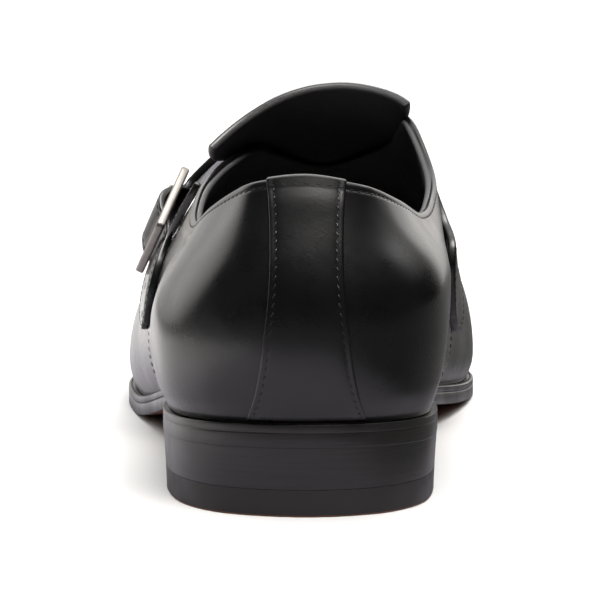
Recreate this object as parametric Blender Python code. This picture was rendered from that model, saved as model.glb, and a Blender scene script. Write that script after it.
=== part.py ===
"""Left monk-strap dress shoe, about size 43, modelled on its last.

Frame: +X is the inner side of the foot, +Y the toe, +Z up. The origin lies in the middle of the
heel's rest face. Lengths are metres; the section tables hold per cent of the driving dimensions.
"""
import functools
import math

import bmesh
import bpy
import numpy as np
from mathutils import Vector

# Driving dimensions
LAST_LENGTH = 0.300         # back of the heel to the tip of the toe, along the feather line
BALL_WIDTH = 0.107          # sole's width across the ball
INSTEP_HEIGHT = 0.096       # floor to the instep under the tongue's top edge
HEEL_HEIGHT = 0.0164        # floor to the underside of the outsole at the back
HEEL_BACK = -0.037          # y of the heel's back, behind the origin
HEEL_LENGTH = 0.078         # back of the heel to its breast
TOE_SPRING = 0.0100         # underside of the sole at the toe above the floor

# Thicknesses and clearances
GAP = 0.0003                # between pieces that touch
UPPER_WALL = 0.0020         # outer leather and lining together
LAP = 0.0009                # step where the quarters lie over the vamp
OUTSOLE_THICK = 0.0033
WELT_THICK = 0.0019
INSOLE_THICK = 0.0025
TOP_LIFT_THICK = 0.0065
OVERLAY_THICK = 0.0011      # toe cap and back strip
TONGUE_THICK = 0.0024
STRAP_THICK = 0.0022

# Sole profile
SEAT_SLOPE = 0.0437         # the heel seat falls forward at two and a half degrees
BALL_LINE_AT = 0.190        # where the waist meets the floor, on the centre line
BALL_LINE_SKEW = 0.42       # the inner side meets the floor further forward
SPRING_AT = 0.235           # where the toe starts to rise
SPRING_POWER = 1.8

ROWS = 17                   # sections from the heel's back, 0, to the toe, 17
THROAT_ROW = 10             # in front of this section both sides meet on the ridge
OUTER, INNER = -1, 1
SEAM_ROW = {OUTER: 7.2, INNER: 8.0}     # front edge of each quarter
STEP = 0.03                 # width of a seam's step, in sections
FOOT = 0.10                 # share of the wall over which it turns upright on the welt

# One row for each section, from the heel's back to the toe. Stations are per cent of
# LAST_LENGTH, x per cent of BALL_WIDTH and heights per cent of INSTEP_HEIGHT. The wall starts on
# the welt at the feather, is widest at the girth and ends at the top line or the ridge. Fullness
# and stand shape its upper half: how far it arches over, and how upright it ends.
COLUMNS = ("feather_at", "feather_x", "girth_at", "girth_x", "girth_z",
           "top_at", "top_x", "top_z", "full", "stand")
OUTER_SIDE = (
    (0.8, 1.4, -0.7, 1.4, 43.8, 2.5, 1.4, 82.6, 0.40, 0.45),
    (1.5, -9.8, 0.1, -11.7, 43.8, 3.0, -8.9, 81.3, 0.40, 0.45),
    (3.3, -19.2, 2.3, -22.4, 42.7, 5.3, -13.8, 78.6, 0.40, 0.42),
    (7.0, -26.4, 6.7, -30.4, 41.7, 10.0, -19.4, 73.5, 0.40, 0.38),
    (12.7, -30.1, 13.3, -33.6, 41.7, 16.7, -23.5, 68.3, 0.40, 0.35),
    (20.0, -30.7, 20.7, -33.8, 38.5, 23.3, -25.0, 69.8, 0.40, 0.33),
    (28.3, -31.0, 28.3, -34.6, 34.4, 29.3, -23.7, 75.3, 0.40, 0.28),
    (36.7, -34.4, 36.7, -37.9, 30.2, 34.7, -19.2, 80.5, 0.38, 0.21),
    (45.0, -38.8, 45.0, -42.1, 25.0, 40.7, -11.7, 84.9, 0.38, 0.18),
    (53.3, -43.6, 53.3, -46.2, 19.3, 46.0, -6.1, 82.8, 0.42, 0.10),
    (61.7, -47.1, 61.7, -48.8, 14.6, 50.0, 6.1, 78.6, 0.48, 0.0),
    (69.3, -47.3, 69.3, -48.9, 13.5, 56.0, 5.6, 70.8, 0.50, 0.0),
    (76.7, -44.5, 76.7, -46.3, 13.5, 62.7, 5.1, 62.5, 0.52, 0.0),
    (84.0, -40.3, 84.0, -42.1, 14.6, 69.3, 4.7, 54.2, 0.54, 0.0),
    (90.3, -33.4, 90.3, -35.2, 16.7, 76.0, 4.2, 46.4, 0.56, 0.0),
    (95.6, -23.6, 95.6, -25.4, 19.3, 82.7, 3.7, 39.6, 0.58, 0.0),
    (99.0, -11.0, 99.3, -12.3, 21.4, 88.7, 3.5, 34.4, 0.60, 0.0),
    (100.0, 3.3, 100.3, 3.3, 22.4, 93.7, 3.3, 29.7, 0.60, 0.0),
)
INNER_SIDE = (
    (0.8, 1.4, -0.7, 1.4, 43.8, 2.5, 1.4, 82.6, 0.40, 0.45),
    (1.5, 12.1, 0.1, 14.5, 44.8, 3.0, 11.7, 80.8, 0.40, 0.45),
    (3.3, 20.8, 2.3, 24.8, 46.9, 5.3, 16.6, 78.8, 0.40, 0.45),
    (7.0, 27.5, 6.7, 31.3, 51.0, 10.0, 22.3, 74.9, 0.40, 0.45),
    (12.7, 30.3, 13.3, 33.8, 54.2, 16.7, 27.4, 70.6, 0.40, 0.45),
    (20.0, 30.5, 20.7, 34.6, 53.1, 23.3, 31.0, 72.4, 0.45, 0.45),
    (28.3, 29.7, 28.3, 34.8, 50.0, 29.3, 32.3, 79.8, 0.55, 0.40),
    (36.7, 31.4, 36.7, 36.7, 39.6, 34.7, 26.9, 93.5, 0.50, 0.075),
    (45.0, 36.1, 45.0, 39.8, 27.1, 40.7, 23.6, 87.0, 0.32, 0.06),
    (53.3, 41.9, 53.3, 44.9, 21.0, 46.0, 17.8, 82.8, 0.42, 0.07),
    (61.7, 46.7, 61.7, 49.3, 17.7, 50.0, 6.1, 78.6, 0.60, 0.0),
    (69.3, 49.0, 69.3, 50.7, 13.5, 56.0, 5.6, 70.8, 0.58, 0.0),
    (76.7, 47.5, 76.7, 49.3, 13.5, 62.7, 5.1, 62.5, 0.57, 0.0),
    (84.0, 43.2, 84.0, 45.0, 14.6, 69.3, 4.7, 54.2, 0.57, 0.0),
    (90.3, 37.2, 90.3, 39.1, 16.7, 76.0, 4.2, 46.4, 0.58, 0.0),
    (95.6, 28.4, 95.6, 30.3, 19.3, 82.7, 3.7, 39.6, 0.59, 0.0),
    (99.0, 17.2, 99.3, 18.6, 21.4, 88.7, 3.5, 34.4, 0.60, 0.0),
    (100.0, 3.3, 100.3, 3.3, 22.4, 93.7, 3.3, 29.7, 0.60, 0.0),
)


# The sole's surfaces

def sole_bottom(x, y):
    """Height of the outsole's underside: heel seat, waist, flat forepart and toe spring."""
    station = y - HEEL_BACK
    seat = HEEL_HEIGHT - SEAT_SLOPE * min(station, HEEL_LENGTH)
    ball_line = BALL_LINE_AT + BALL_LINE_SKEW * x
    waist = ball_line - HEEL_LENGTH
    t = min(max((station - HEEL_LENGTH) / waist, 0.0), 1.0)
    fall = 2 * t**3 - 3 * t**2 + 1
    glide = t**3 - 2 * t**2 + t
    spring = max(station - SPRING_AT, 0.0) / (LAST_LENGTH - SPRING_AT)
    return seat * fall - SEAT_SLOPE * waist * glide + TOE_SPRING * spring**SPRING_POWER


def welt_bottom(x, y):
    return sole_bottom(x, y) + OUTSOLE_THICK + GAP


def welt_top(x, y):
    return welt_bottom(x, y) + WELT_THICK


# The last's surface

def catmull(points, p, closed):
    """Point at parameter p on a Catmull-Rom spline through the rows of points."""
    count = len(points)
    start = int(math.floor(p)) if closed else min(int(p), count - 2)
    f = p - start

    def control(k):
        if closed:
            return points[k % count]
        if k < 0:
            return 2 * points[0] - points[1]
        if k >= count:
            return 2 * points[-1] - points[-2]
        return points[k]

    a, b, c, d = (control(start + k) for k in (-1, 0, 1, 2))
    return 0.5 * (2 * b + (c - a) * f + (2 * a - 5 * b + 4 * c - d) * f**2
                  + (3 * b - a - 3 * c + d) * f**3)


def side_points(table, part):
    """Control points of one line of one side: feather, girth or top."""
    rows = [dict(zip(COLUMNS, row)) for row in table]
    points = []
    for row in rows:
        x = row[part + "_x"] / 100 * BALL_WIDTH
        y = HEEL_BACK + row[part + "_at"] / 100 * LAST_LENGTH
        z = row.get(part + "_z", 0.0) / 100 * INSTEP_HEIGHT
        points.append((x, y, z))
    return np.array(points)


def loop(part, last_row):
    """Closed loop: heel, outer side forward to last_row, inner side back."""
    outer = side_points(OUTER_SIDE, part)[:last_row + 1]
    inner = side_points(INNER_SIDE, part)[1:last_row]
    return np.concatenate([outer, inner[::-1]])


FEATHER_LOOP = loop("feather", ROWS)
GIRTH_LOOP = loop("girth", ROWS)
RIM_LOOP = loop("top", THROAT_ROW)
RIDGE = side_points(OUTER_SIDE, "top")[THROAT_ROW:]
RIDGE = np.concatenate([RIDGE, RIDGE[-2:-1]])   # turned back at the toe, so that it ends smoothly
FULLNESS = {OUTER: [row[8] for row in OUTER_SIDE], INNER: [row[8] for row in INNER_SIDE]}
STAND = {OUTER: [row[9] for row in OUTER_SIDE], INNER: [row[9] for row in INNER_SIDE]}


def around(points, side, p):
    """Point of a closed loop at section p of one side."""
    return catmull(points, p if side == OUTER else len(points) - p, closed=True)


def top(side, p):
    if p < THROAT_ROW:
        return around(RIM_LOOP, side, p)
    return catmull(RIDGE, p - THROAT_ROW, closed=False)


def bezier(a, b, c, d, t):
    s = 1 - t
    return a * s**3 + 3 * b * s**2 * t + 3 * c * s * t**2 + d * t**3


@functools.cache
def rails(side, p):
    """Feather, girth, top and the handle of the wall's upper end at section p."""
    low, wide, high = around(FEATHER_LOOP, side, p), around(GIRTH_LOOP, side, p), top(side, p)
    low[2] = welt_top(low[0], low[1]) + GAP
    reach = high - wide
    full = np.interp(p, range(ROWS + 1), FULLNESS[side])
    stand = np.interp(p, range(ROWS + 1), STAND[side])
    turn = min(1.0, 2.5 * stand)
    handle = np.array([full * reach[0], full * turn * reach[1], stand * reach[2]])
    if p > THROAT_ROW:
        turn = ((p - THROAT_ROW) / (ROWS - THROAT_ROW)) ** 2
        along = top(side, p) - top(side, p - 0.04)
        handle[1:] = full * turn * reach[1] * along[1:] / along[1]
    return low, wide, high, handle


LOWER_SHARE = 0.28          # part of the wall's parameter that lies below the girth
FEATHER_HANDLE = (0.45, 0.45, 0.25)     # handles of the wall's two curves, as shares of their span
GIRTH_HANDLES = (0.50, 0.45)


@functools.cache
def wall(side, p, v):
    """Outside of the upper at section p, from the feather, v = 0, to the top, v = 1."""
    low, wide, high, handle = rails(side, p)
    if v < LOWER_SHARE:
        out = (wide - low) * FEATHER_HANDLE
        rise = (wide - low) * (0.0, 0.0, GIRTH_HANDLES[0])
        return bezier(low, low + out, wide - rise, wide, v / LOWER_SHARE)
    rise = (high - wide) * (0.0, 0.0, GIRTH_HANDLES[1])
    t = (v - LOWER_SHARE) / (1 - LOWER_SHARE)
    return bezier(wide, wide + rise, high - handle, high, t)


def bridge(p, t):
    """The instep between the two top lines, as the tongue closes it: t = 0 outer, 1 inner."""
    outer, inner = rails(OUTER, p), rails(INNER, p)
    span = (inner[2][0] - outer[2][0]) / 3
    lean = [handle * span / max(abs(handle[0]), 1e-6) for handle in (outer[3], inner[3])]
    return bezier(outer[2], outer[2] + lean[0], inner[2] + lean[1], inner[2], t)


SECTION_STEPS = 24


@functools.cache
def section(p):
    """Points of the whole section from the outer feather over the instep to the inner one."""
    steps = np.linspace(0, 1, SECTION_STEPS + 1)
    outer = [wall(OUTER, p, v) for v in steps]
    inner = [wall(INNER, p, v) for v in steps[::-1]]
    if p >= THROAT_ROW:
        return np.array(outer + inner[1:]), SECTION_STEPS
    over = [bridge(p, t) for t in steps[1:-1]]
    return np.array(outer + over + inner), SECTION_STEPS + SECTION_STEPS // 2


def instep_point(p, d):
    """Point of section p at the distance d from the ridge, along the surface, inner side +."""
    points, ridge = section(p)
    lengths = np.linalg.norm(np.diff(points, axis=0), axis=1)
    along = np.concatenate([[0.0], np.cumsum(lengths)])
    along -= along[ridge]
    return np.array([np.interp(d, along, points[:, k]) for k in range(3)])


INSTEP_ROWS = np.arange(6.0, 11.01, 0.1)
INSTEP_REACH = np.arange(-0.096, 0.0951, 0.002)
INSTEP = np.array([[instep_point(p, d) for p in INSTEP_ROWS] for d in INSTEP_REACH])


def on_instep(station, d):
    """The instep at a station from the heel's back and a distance d from the ridge."""
    column = (d - INSTEP_REACH[0]) / (INSTEP_REACH[1] - INSTEP_REACH[0])
    low = min(max(int(column), 0), len(INSTEP) - 2)
    line = INSTEP[low] + (INSTEP[low + 1] - INSTEP[low]) * (column - low)
    y = HEEL_BACK + station
    return np.array([np.interp(y, line[:, 1], line[:, 0]), y, np.interp(y, line[:, 1], line[:, 2])])


def frame_at(station, d):
    """Unit vectors at a point of the instep: forward along it, towards the inner side, outward."""
    reach = 0.003
    forward = on_instep(station + reach, d) - on_instep(station - reach, d)
    inward = on_instep(station, d + reach) - on_instep(station, d - reach)
    outward = np.cross(inward, forward)
    outward /= np.linalg.norm(outward)
    forward /= np.linalg.norm(forward)
    return forward, np.cross(forward, outward), outward


def lifted(station, d, lift):
    """A point above the instep's surface, along its normal."""
    return on_instep(station, d) + frame_at(station, d)[2] * lift


def wall_normal(side, p, v):
    """Unit vector out of the wall. On the ridge both sides share it, so that they join."""
    dp, dv = 0.04, 0.02
    if v == 1 and p >= THROAT_ROW:
        along = top(side, min(p + dp, ROWS)) - top(side, max(p - dp, THROAT_ROW))
        normal = np.cross((1.0, 0.0, 0.0), along)
    else:
        along = wall(side, p + dp, v) - wall(side, p - dp, v)
        upward = wall(side, p, min(v + dv, 1.0)) - wall(side, p, max(v - dv, 0.0))
        normal = side * np.cross(along, upward)
        normal[2] *= min(v / FOOT, 1)
    return normal / np.linalg.norm(normal)


def off_wall(side, p, v, lift):
    return wall(side, p, v) + wall_normal(side, p, v) * lift


def lap(side, p, v):
    """The quarters' leather lies over the vamp's, behind each seam, and thins out on the welt."""
    return LAP * min(v / FOOT, 1) if p < SEAM_ROW[side] else 0.0


# Making meshes

def add_object(name, bm, colour, roughness, metallic=0.0):
    mesh = bpy.data.meshes.new(name)
    bm.to_mesh(mesh)
    bm.free()
    mesh.shade_smooth()
    mesh.set_sharp_from_angle(angle=math.radians(35))
    material = bpy.data.materials.new(name)
    material.use_nodes = True
    shader = material.node_tree.nodes["Principled BSDF"]
    shader.inputs["Base Color"].default_value = (*colour, 1.0)
    shader.inputs["Roughness"].default_value = roughness
    shader.inputs["Metallic"].default_value = metallic
    mesh.materials.append(material)
    obj = bpy.data.objects.new(name, mesh)
    SHOE.objects.link(obj)
    return obj


def sheet(bm, columns, rows, place):
    """A grid of faces whose corners lie at place(column, row)."""
    made = bmesh.ops.create_grid(bm, x_segments=columns, y_segments=rows, size=0.5)
    for vert in made["verts"]:
        column = round((vert.co.x + 0.5) * columns)
        row = round((vert.co.y + 0.5) * rows)
        vert.co = place(column, row)
    return made["verts"]


def plate(columns, rows, place, low, high):
    """Two sheets at place(column, row, lift) for lifts low and high, joined round their edges."""
    bm = bmesh.new()
    for lift in (low, high):
        verts = sheet(bm, columns, rows, lambda i, j, lift=lift: place(i, j, lift))
        bmesh.ops.remove_doubles(bm, verts=verts, dist=MERGE)
    open_edges = [edge for edge in bm.edges if edge.is_boundary]
    for ring in rings(open_edges):
        ring_edges = [edge for edge in open_edges if edge in ring]
        bmesh.ops.bridge_loops(bm, edges=ring_edges)
    bmesh.ops.recalc_face_normals(bm, faces=bm.faces)
    return bm


def rings(edges):
    """Pairs the open rings of the two sheets: each with the ring that lies nearest to it."""
    left, found = set(edges), []
    while left:
        ring, stack = set(), [left.pop()]
        while stack:
            edge = stack.pop()
            ring.add(edge)
            near = {other for vert in edge.verts for other in vert.link_edges if other in left}
            left -= near
            stack.extend(near)
        found.append(ring)

    def centre(ring):
        points = [vert.co for edge in ring for vert in edge.verts]
        return sum(points, Vector()) / len(points)

    pairs = []
    while found:
        first = found.pop()
        mate = min((ring for ring in found if len(ring) == len(first)),
                   key=lambda ring: (centre(ring) - centre(first)).length)
        found.remove(mate)
        pairs.append(first | mate)
    return pairs


MERGE = 2e-6

for old in list(bpy.data.objects):
    bpy.data.objects.remove(old)
SHOE = bpy.data.collections.new("monk strap shoe")
CUTTERS = bpy.data.collections.new("cutters")
for group in (SHOE, CUTTERS):
    bpy.context.scene.collection.children.link(group)

BLACK_CALF = (0.012, 0.012, 0.013)
BLACK_LINING = (0.010, 0.010, 0.010)
EDGE_BLACK = (0.020, 0.019, 0.018)
TAN_SOLE = (0.28, 0.12, 0.055)
RUBBER = (0.030, 0.029, 0.028)
NICKEL = (0.62, 0.59, 0.55)


# Sole: outsole, welt, heel stack and top lift

def outline(side, p, margin):
    """Point of the feather line moved outward in plan by a margin."""
    ahead, behind = around(FEATHER_LOOP, side, p + 0.05), around(FEATHER_LOOP, side, p - 0.05)
    along = (ahead - behind)[:2]
    out = side * np.array([along[1], -along[0]]) / np.linalg.norm(along)
    return around(FEATHER_LOOP, side, p)[:2] + out * margin


def sole_margin(p):
    """How far the sole's edge stands outside the feather line: more round the toe."""
    return np.interp(p, (0, 6, 10, ROWS), (0.0013, 0.0015, 0.0021, 0.0026))


def sole_layer(name, bottom, thick, extra_margin, colour, roughness, across=5, along=45):
    """A layer of the sole: rows across the foot, its underside on bottom(x, y)."""
    def place(i, j, lift):
        p = ROWS * (1 - math.cos(math.pi * j / along)) / 2
        margin = sole_margin(p) + extra_margin
        left, right = outline(OUTER, p, margin), outline(INNER, p, margin)
        x, y = left + (right - left) * i / across
        return x, y, bottom(x, y) + lift
    return add_object(name, plate(across, along, place, 0.0, thick), colour, roughness)


BREAST_HOLLOW = 0.004       # the heel's front face is hollowed by this much


def heel_block(name, low, high, low_margin, high_margin, colour, roughness, columns=14, front=6):
    """A block under the heel seat between the heights low(x, y) and high(x, y)."""
    breast_row = next(p / 50 for p in range(ROWS * 50)
                      if around(FEATHER_LOOP, OUTER, p / 50)[1] > HEEL_BACK + HEEL_LENGTH)
    rows = [breast_row * k / columns for k in range(columns + 1)]

    def ring(margin, height):
        outer = [outline(OUTER, p, margin) for p in rows]
        inner = [outline(INNER, p, margin) for p in rows[:0:-1]]
        across = inner[0] - outer[-1]
        breast = [outer[-1] + across * t - (0, BREAST_HOLLOW * 4 * t * (1 - t))
                  for t in (k / front for k in range(1, front))]
        return [(x, y, height(x, y)) for x, y in outer + breast + inner]

    bm = bmesh.new()
    below = [bm.verts.new(point) for point in ring(low_margin, low)]
    above = [bm.verts.new(point) for point in ring(high_margin, high)]
    for verts in (below, above):
        bm.faces.new(verts)
    bmesh.ops.bridge_loops(bm, edges=bm.edges[:])
    bmesh.ops.recalc_face_normals(bm, faces=bm.faces)
    return add_object(name, bm, colour, roughness)


HEEL_MARGIN = 0.0011
HEEL_TAPER = 0.0007
sole_layer("outsole", sole_bottom, OUTSOLE_THICK, 0.0, TAN_SOLE, 0.55)
sole_layer("welt", welt_bottom, WELT_THICK, 0.0002, EDGE_BLACK, 0.35)
sole_layer("insole", lambda x, y: welt_top(x, y) + GAP, INSOLE_THICK,
           -(UPPER_WALL + 0.0035), BLACK_LINING, 0.6, across=4, along=34)
heel_block("heel_stack", lambda x, y: TOP_LIFT_THICK + GAP, lambda x, y: sole_bottom(x, y) - GAP,
           HEEL_MARGIN - HEEL_TAPER * 0.7, HEEL_MARGIN, EDGE_BLACK, 0.4)
heel_block("heel_top_lift", lambda x, y: 0.0, lambda x, y: TOP_LIFT_THICK,
           HEEL_MARGIN - HEEL_TAPER, HEEL_MARGIN - HEEL_TAPER * 0.7, RUBBER, 0.7)


# Upper: one hollow shell, open at the collar and throat and underneath

def side_rows(side):
    """Sections that carry a column: closer where the plan curves, doubled at the seam."""
    rows = [k / 3 for k in range(15)] + [5 + k / 2 for k in range(14)]
    rows += [12 + k / 3 for k in range(16)]
    seam = SEAM_ROW[side]
    rows = [p for p in rows if abs(p - seam) > 0.1]
    return sorted(rows + [seam - STEP / 2, seam + STEP / 2])


UPPER_HEIGHTS = [0.0, FOOT, 0.19, LOWER_SHARE] + [LOWER_SHARE + 0.72 * k / 9 for k in range(1, 10)]
UPPER_HEIGHTS[-1] = 1
upper_columns = [(OUTER, p) for p in side_rows(OUTER)]
upper_columns += [(INNER, p) for p in side_rows(INNER)[::-1][1:-1]] + [(OUTER, 0.0)]


def upper_point(i, j, lift):
    side, p = upper_columns[i]
    v = UPPER_HEIGHTS[j]
    raise_by = lap(side, p, v) if lift == 0 else -UPPER_WALL
    return off_wall(side, p, v, raise_by)


add_object("upper", plate(len(upper_columns) - 1, len(UPPER_HEIGHTS) - 1, upper_point, 1, 0),
           BLACK_CALF, 0.3)


# Toe cap and back strip, cut from the upper's own surface

CAP_AT = (0.244, 0.234)     # station of the cap's edge on the welt and on the ridge
CAP_GAP = 0.00060          # wider than GAP, as its facets don't match the vamp's
CAP_LOW = 0.030             # its lower edge stops just above the welt


def row_at(side, v, y):
    """The section at which the wall's line v reaches y, by halving."""
    low, high = 5.0, float(ROWS)
    for _ in range(30):
        middle = (low + high) / 2
        if wall(side, middle, v)[1] < y:
            low = middle
        else:
            high = middle
    return (low + high) / 2


def toe_cap(columns=26, heights=10):
    def place(i, j, lift):
        v = CAP_LOW + (1 - CAP_LOW) * j / heights
        side = OUTER if i <= columns // 2 else INNER
        share = abs(i - columns // 2) / (columns // 2)
        edge = HEEL_BACK + CAP_AT[0] + (CAP_AT[1] - CAP_AT[0]) * v * v * (3 - 2 * v)
        p = ROWS - (ROWS - row_at(side, v, edge)) * share
        return off_wall(side, p, 1 if j == heights else v, lift)
    return plate(columns, heights, place, CAP_GAP, CAP_GAP + OVERLAY_THICK)


def strip_half_width(v):
    """Narrow in the middle, a little wider at the top line and widest at the welt."""
    return 0.0080 + 0.0009 * v**12 + 0.0066 * (1 - v) ** 4.2


def back_strip(columns=8, heights=11):
    def place(i, j, lift):
        v = j / heights
        side = OUTER if i <= columns // 2 else INNER
        width = strip_half_width(v) * abs(i - columns // 2) / (columns // 2)
        p = width / np.linalg.norm(wall(side, 1, v) - wall(side, 0, v))
        return off_wall(side if p else OUTER, p, v, lap(OUTER, p, v) + lift)
    return plate(columns, heights, place, GAP, GAP + OVERLAY_THICK)


add_object("toe_cap", toe_cap(), BLACK_CALF, 0.25)
add_object("back_strip", back_strip(), BLACK_CALF, 0.3)


# Tongue: over the instep, outside both quarters' front edges

TONGUE_TOP_AT = 0.1075      # station of its free top edge on the ridge
TONGUE_LOW_AT = 0.1530      # its low end covers the throat in front of the strap
TONGUE_HALF = {OUTER: (0.0338, 0.0155), INNER: (0.0272, 0.0150)}
TONGUE_DRAW = {OUTER: 1.6, INNER: 1.0}      # a higher power draws its side edge in later
TONGUE_LIFT = LAP + GAP
TONGUE_RISE = (0.0026, 0.0022, 0.0018, 0.0015, 0.00115, 0.0007, 0.0, -0.0004, -0.0002)
TONGUE_FREE = 0.4           # share of its length over which its free end has this own arch
TONGUE_SWEEP = 0.007        # the corners lie behind the middle of the top edge


def tongue(columns=14, rows=12):
    def place(i, j, lift):
        across = 2 * i / columns - 1
        t = j / rows
        side = OUTER if across < 0 else INNER
        top_half, low_half = TONGUE_HALF[side]
        d = across * (top_half + (low_half - top_half) * t ** TONGUE_DRAW[side])
        station = TONGUE_TOP_AT - TONGUE_SWEEP * across**2 * (1 - t)
        station += (TONGUE_LOW_AT - TONGUE_TOP_AT) * t
        free = max(0.0, 1 - t / TONGUE_FREE)
        rise = free * np.interp(across, np.linspace(-1, 1, len(TONGUE_RISE)), TONGUE_RISE)
        return lifted(station, d, TONGUE_LIFT + rise + lift)
    return plate(columns, rows, place, 0.0, TONGUE_THICK)


add_object("tongue", tongue(), BLACK_CALF, 0.3)


# Buckle: a frame with a bar across its middle, lying over the outer quarter

BUCKLE_AT = (0.1246, -0.0542)           # station and distance from the ridge of its middle
BUCKLE_LIFT = 0.0050
BUCKLE_FALL = (-0.597, -0.797, -0.088)  # towards its lower bar: forward, inward, outward
BUCKLE_FRONT = (0.775, -0.620, -0.080)  # towards its front side
BUCKLE_HALF = (0.0126, 0.0117)          # outside half sizes, across the strap and along it
RAIL_WIDTH = 0.0026
RAIL_THICK = 0.0024
RAIL_RISE = 0.0004                      # its middle above the buckle's plane
RAIL_SECTION = ((1.0, 0.72), (0.8, 1.0), (-0.8, 1.0), (-1.0, 0.72),
                (-1.0, -0.72), (-0.8, -1.0), (0.8, -1.0), (1.0, -0.72))
BAR_SINK = 0.0005                       # the middle bar lies below the frame's plane
BAR_RADIUS = 0.00065
BAR_MITRE = 0.00026                     # lean of its section where it bends


def buckle_axes():
    """Unit vectors of the buckle: along its bars to the front, along the strap, outward."""
    basis = np.array(frame_at(*BUCKLE_AT)).T
    fall = basis @ BUCKLE_FALL
    fall /= np.linalg.norm(fall)
    front = basis @ BUCKLE_FRONT
    front -= fall * (front @ fall)
    front /= np.linalg.norm(front)
    return front, fall, np.cross(front, fall)


BUCKLE_AXES = np.array(buckle_axes()).T
BUCKLE_MIDDLE = lifted(*BUCKLE_AT, BUCKLE_LIFT)


def in_buckle(w, s, h):
    """A point of the buckle's own frame: along the bars, along the strap, above its plane."""
    return BUCKLE_MIDDLE + BUCKLE_AXES @ (w, s, h)


def ring_angles(sides):
    return [2 * math.pi * j / sides for j in range(sides)]


def tube(bm, path, section, section_at, closed):
    """A skin round a path: section_at(k, s) places the ring's point s of the section."""
    count, sides = len(path), len(section)
    grid = [[bm.verts.new(section_at(k, s)) for s in section] for k in range(count)]
    for k in range(count if closed else count - 1):
        near, far = grid[k], grid[(k + 1) % count]
        for j in range(sides):
            bm.faces.new((near[j], near[(j + 1) % sides], far[(j + 1) % sides], far[j]))
    if not closed:
        bm.faces.new(grid[0][::-1])
        bm.faces.new(grid[-1])
    bmesh.ops.recalc_face_normals(bm, faces=bm.faces)


def buckle_frame(corner=0.0007, corner_steps=3):
    """Rectangle of square rail with rounded corners."""
    half = [size - RAIL_WIDTH / 2 for size in BUCKLE_HALF]
    path = []
    for quarter, (sw, ss) in enumerate(((1, 1), (-1, 1), (-1, -1), (1, -1))):
        for step in range(corner_steps + 1):
            turn = math.pi / 2 * (quarter + step / corner_steps)
            out = np.array([math.cos(turn), math.sin(turn)])
            middle = np.array([sw * (half[0] - corner), ss * (half[1] - corner)])
            path.append((middle + out * corner, out))

    def place(k, point):
        (w, s), (ow, os) = path[k]
        reach = RAIL_WIDTH / 2 * point[0]
        return in_buckle(w + ow * reach, s + os * reach, RAIL_RISE + RAIL_THICK / 2 * point[1])

    bm = bmesh.new()
    tube(bm, path, RAIL_SECTION, place, closed=True)
    return bm


def buckle_bar(sides=6):
    """Round bar across the frame, bent down from the two side rails."""
    half = BUCKLE_HALF[0] - RAIL_WIDTH / 2
    bend = half - BAR_SINK
    path = ((-half, 0.0), (-bend, -BAR_SINK), (bend, -BAR_SINK), (half, 0.0))

    def place(k, angle):
        w, h = path[k]
        return in_buckle(w + BAR_MITRE * math.sin(angle) * np.sign(w),
                         BAR_RADIUS * math.cos(angle), h + BAR_RADIUS * math.sin(angle))

    bm = bmesh.new()
    tube(bm, path, ring_angles(sides), place, closed=False)
    return bm


def combine(target, cutter, operation):
    """An exact Boolean with an object that is not drawn itself."""
    SHOE.objects.unlink(cutter)
    CUTTERS.objects.link(cutter)
    cutter.hide_render = True
    cutter.display_type = "WIRE"
    modifier = target.modifiers.new(operation.lower(), "BOOLEAN")
    modifier.operation = operation
    modifier.solver = "EXACT"
    modifier.object = cutter


casting = add_object("buckle_frame", buckle_frame(), NICKEL, 0.35, 1.0)
combine(casting, add_object("middle_bar", buckle_bar(), NICKEL, 0.35, 1.0), "UNION")


# Prong: hooked over the middle bar, through the strap, its tip on the upper bar

PRONG_PATH = (                          # along the strap and above the buckle's plane, and the
    (0.00115, -0.00050, 0.00045),       # thickness there
    (0.00081, 0.00031, 0.00045),
    (0.00000, 0.00065, 0.00048),
    (-0.00150, 0.00080, 0.00080),
    (-0.00500, 0.00150, 0.00110),
    (-0.00850, 0.00228, 0.00105),
    (-0.01045, 0.00232, 0.00095),
    (-0.01230, 0.00212, 0.00070),
)
PRONG_WIDTH = 0.0017


def prong_line(path, k):
    """Point, and unit vector across it, of a line of the plane at right angles to the bars."""
    ahead, behind = path[min(k + 1, len(path) - 1)], path[max(k - 1, 0)]
    ds, dh = ahead[0] - behind[0], ahead[1] - behind[1]
    return path[k][:2], (-dh / math.hypot(ds, dh), ds / math.hypot(ds, dh))


def prong(sides=6):
    def place(k, angle):
        (s, h), (across_s, across_h) = prong_line(PRONG_PATH, k)
        reach = PRONG_PATH[k][2] / 2 * math.sin(angle)
        return in_buckle(PRONG_WIDTH / 2 * math.cos(angle), s + across_s * reach,
                         h + across_h * reach)

    bm = bmesh.new()
    tube(bm, PRONG_PATH, ring_angles(sides), place, closed=False)
    return bm


add_object("buckle_prong", prong(), NICKEL, 0.35, 1.0)


# Strap: sewn to the inner side, over the tongue and through the buckle on the outer side

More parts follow.
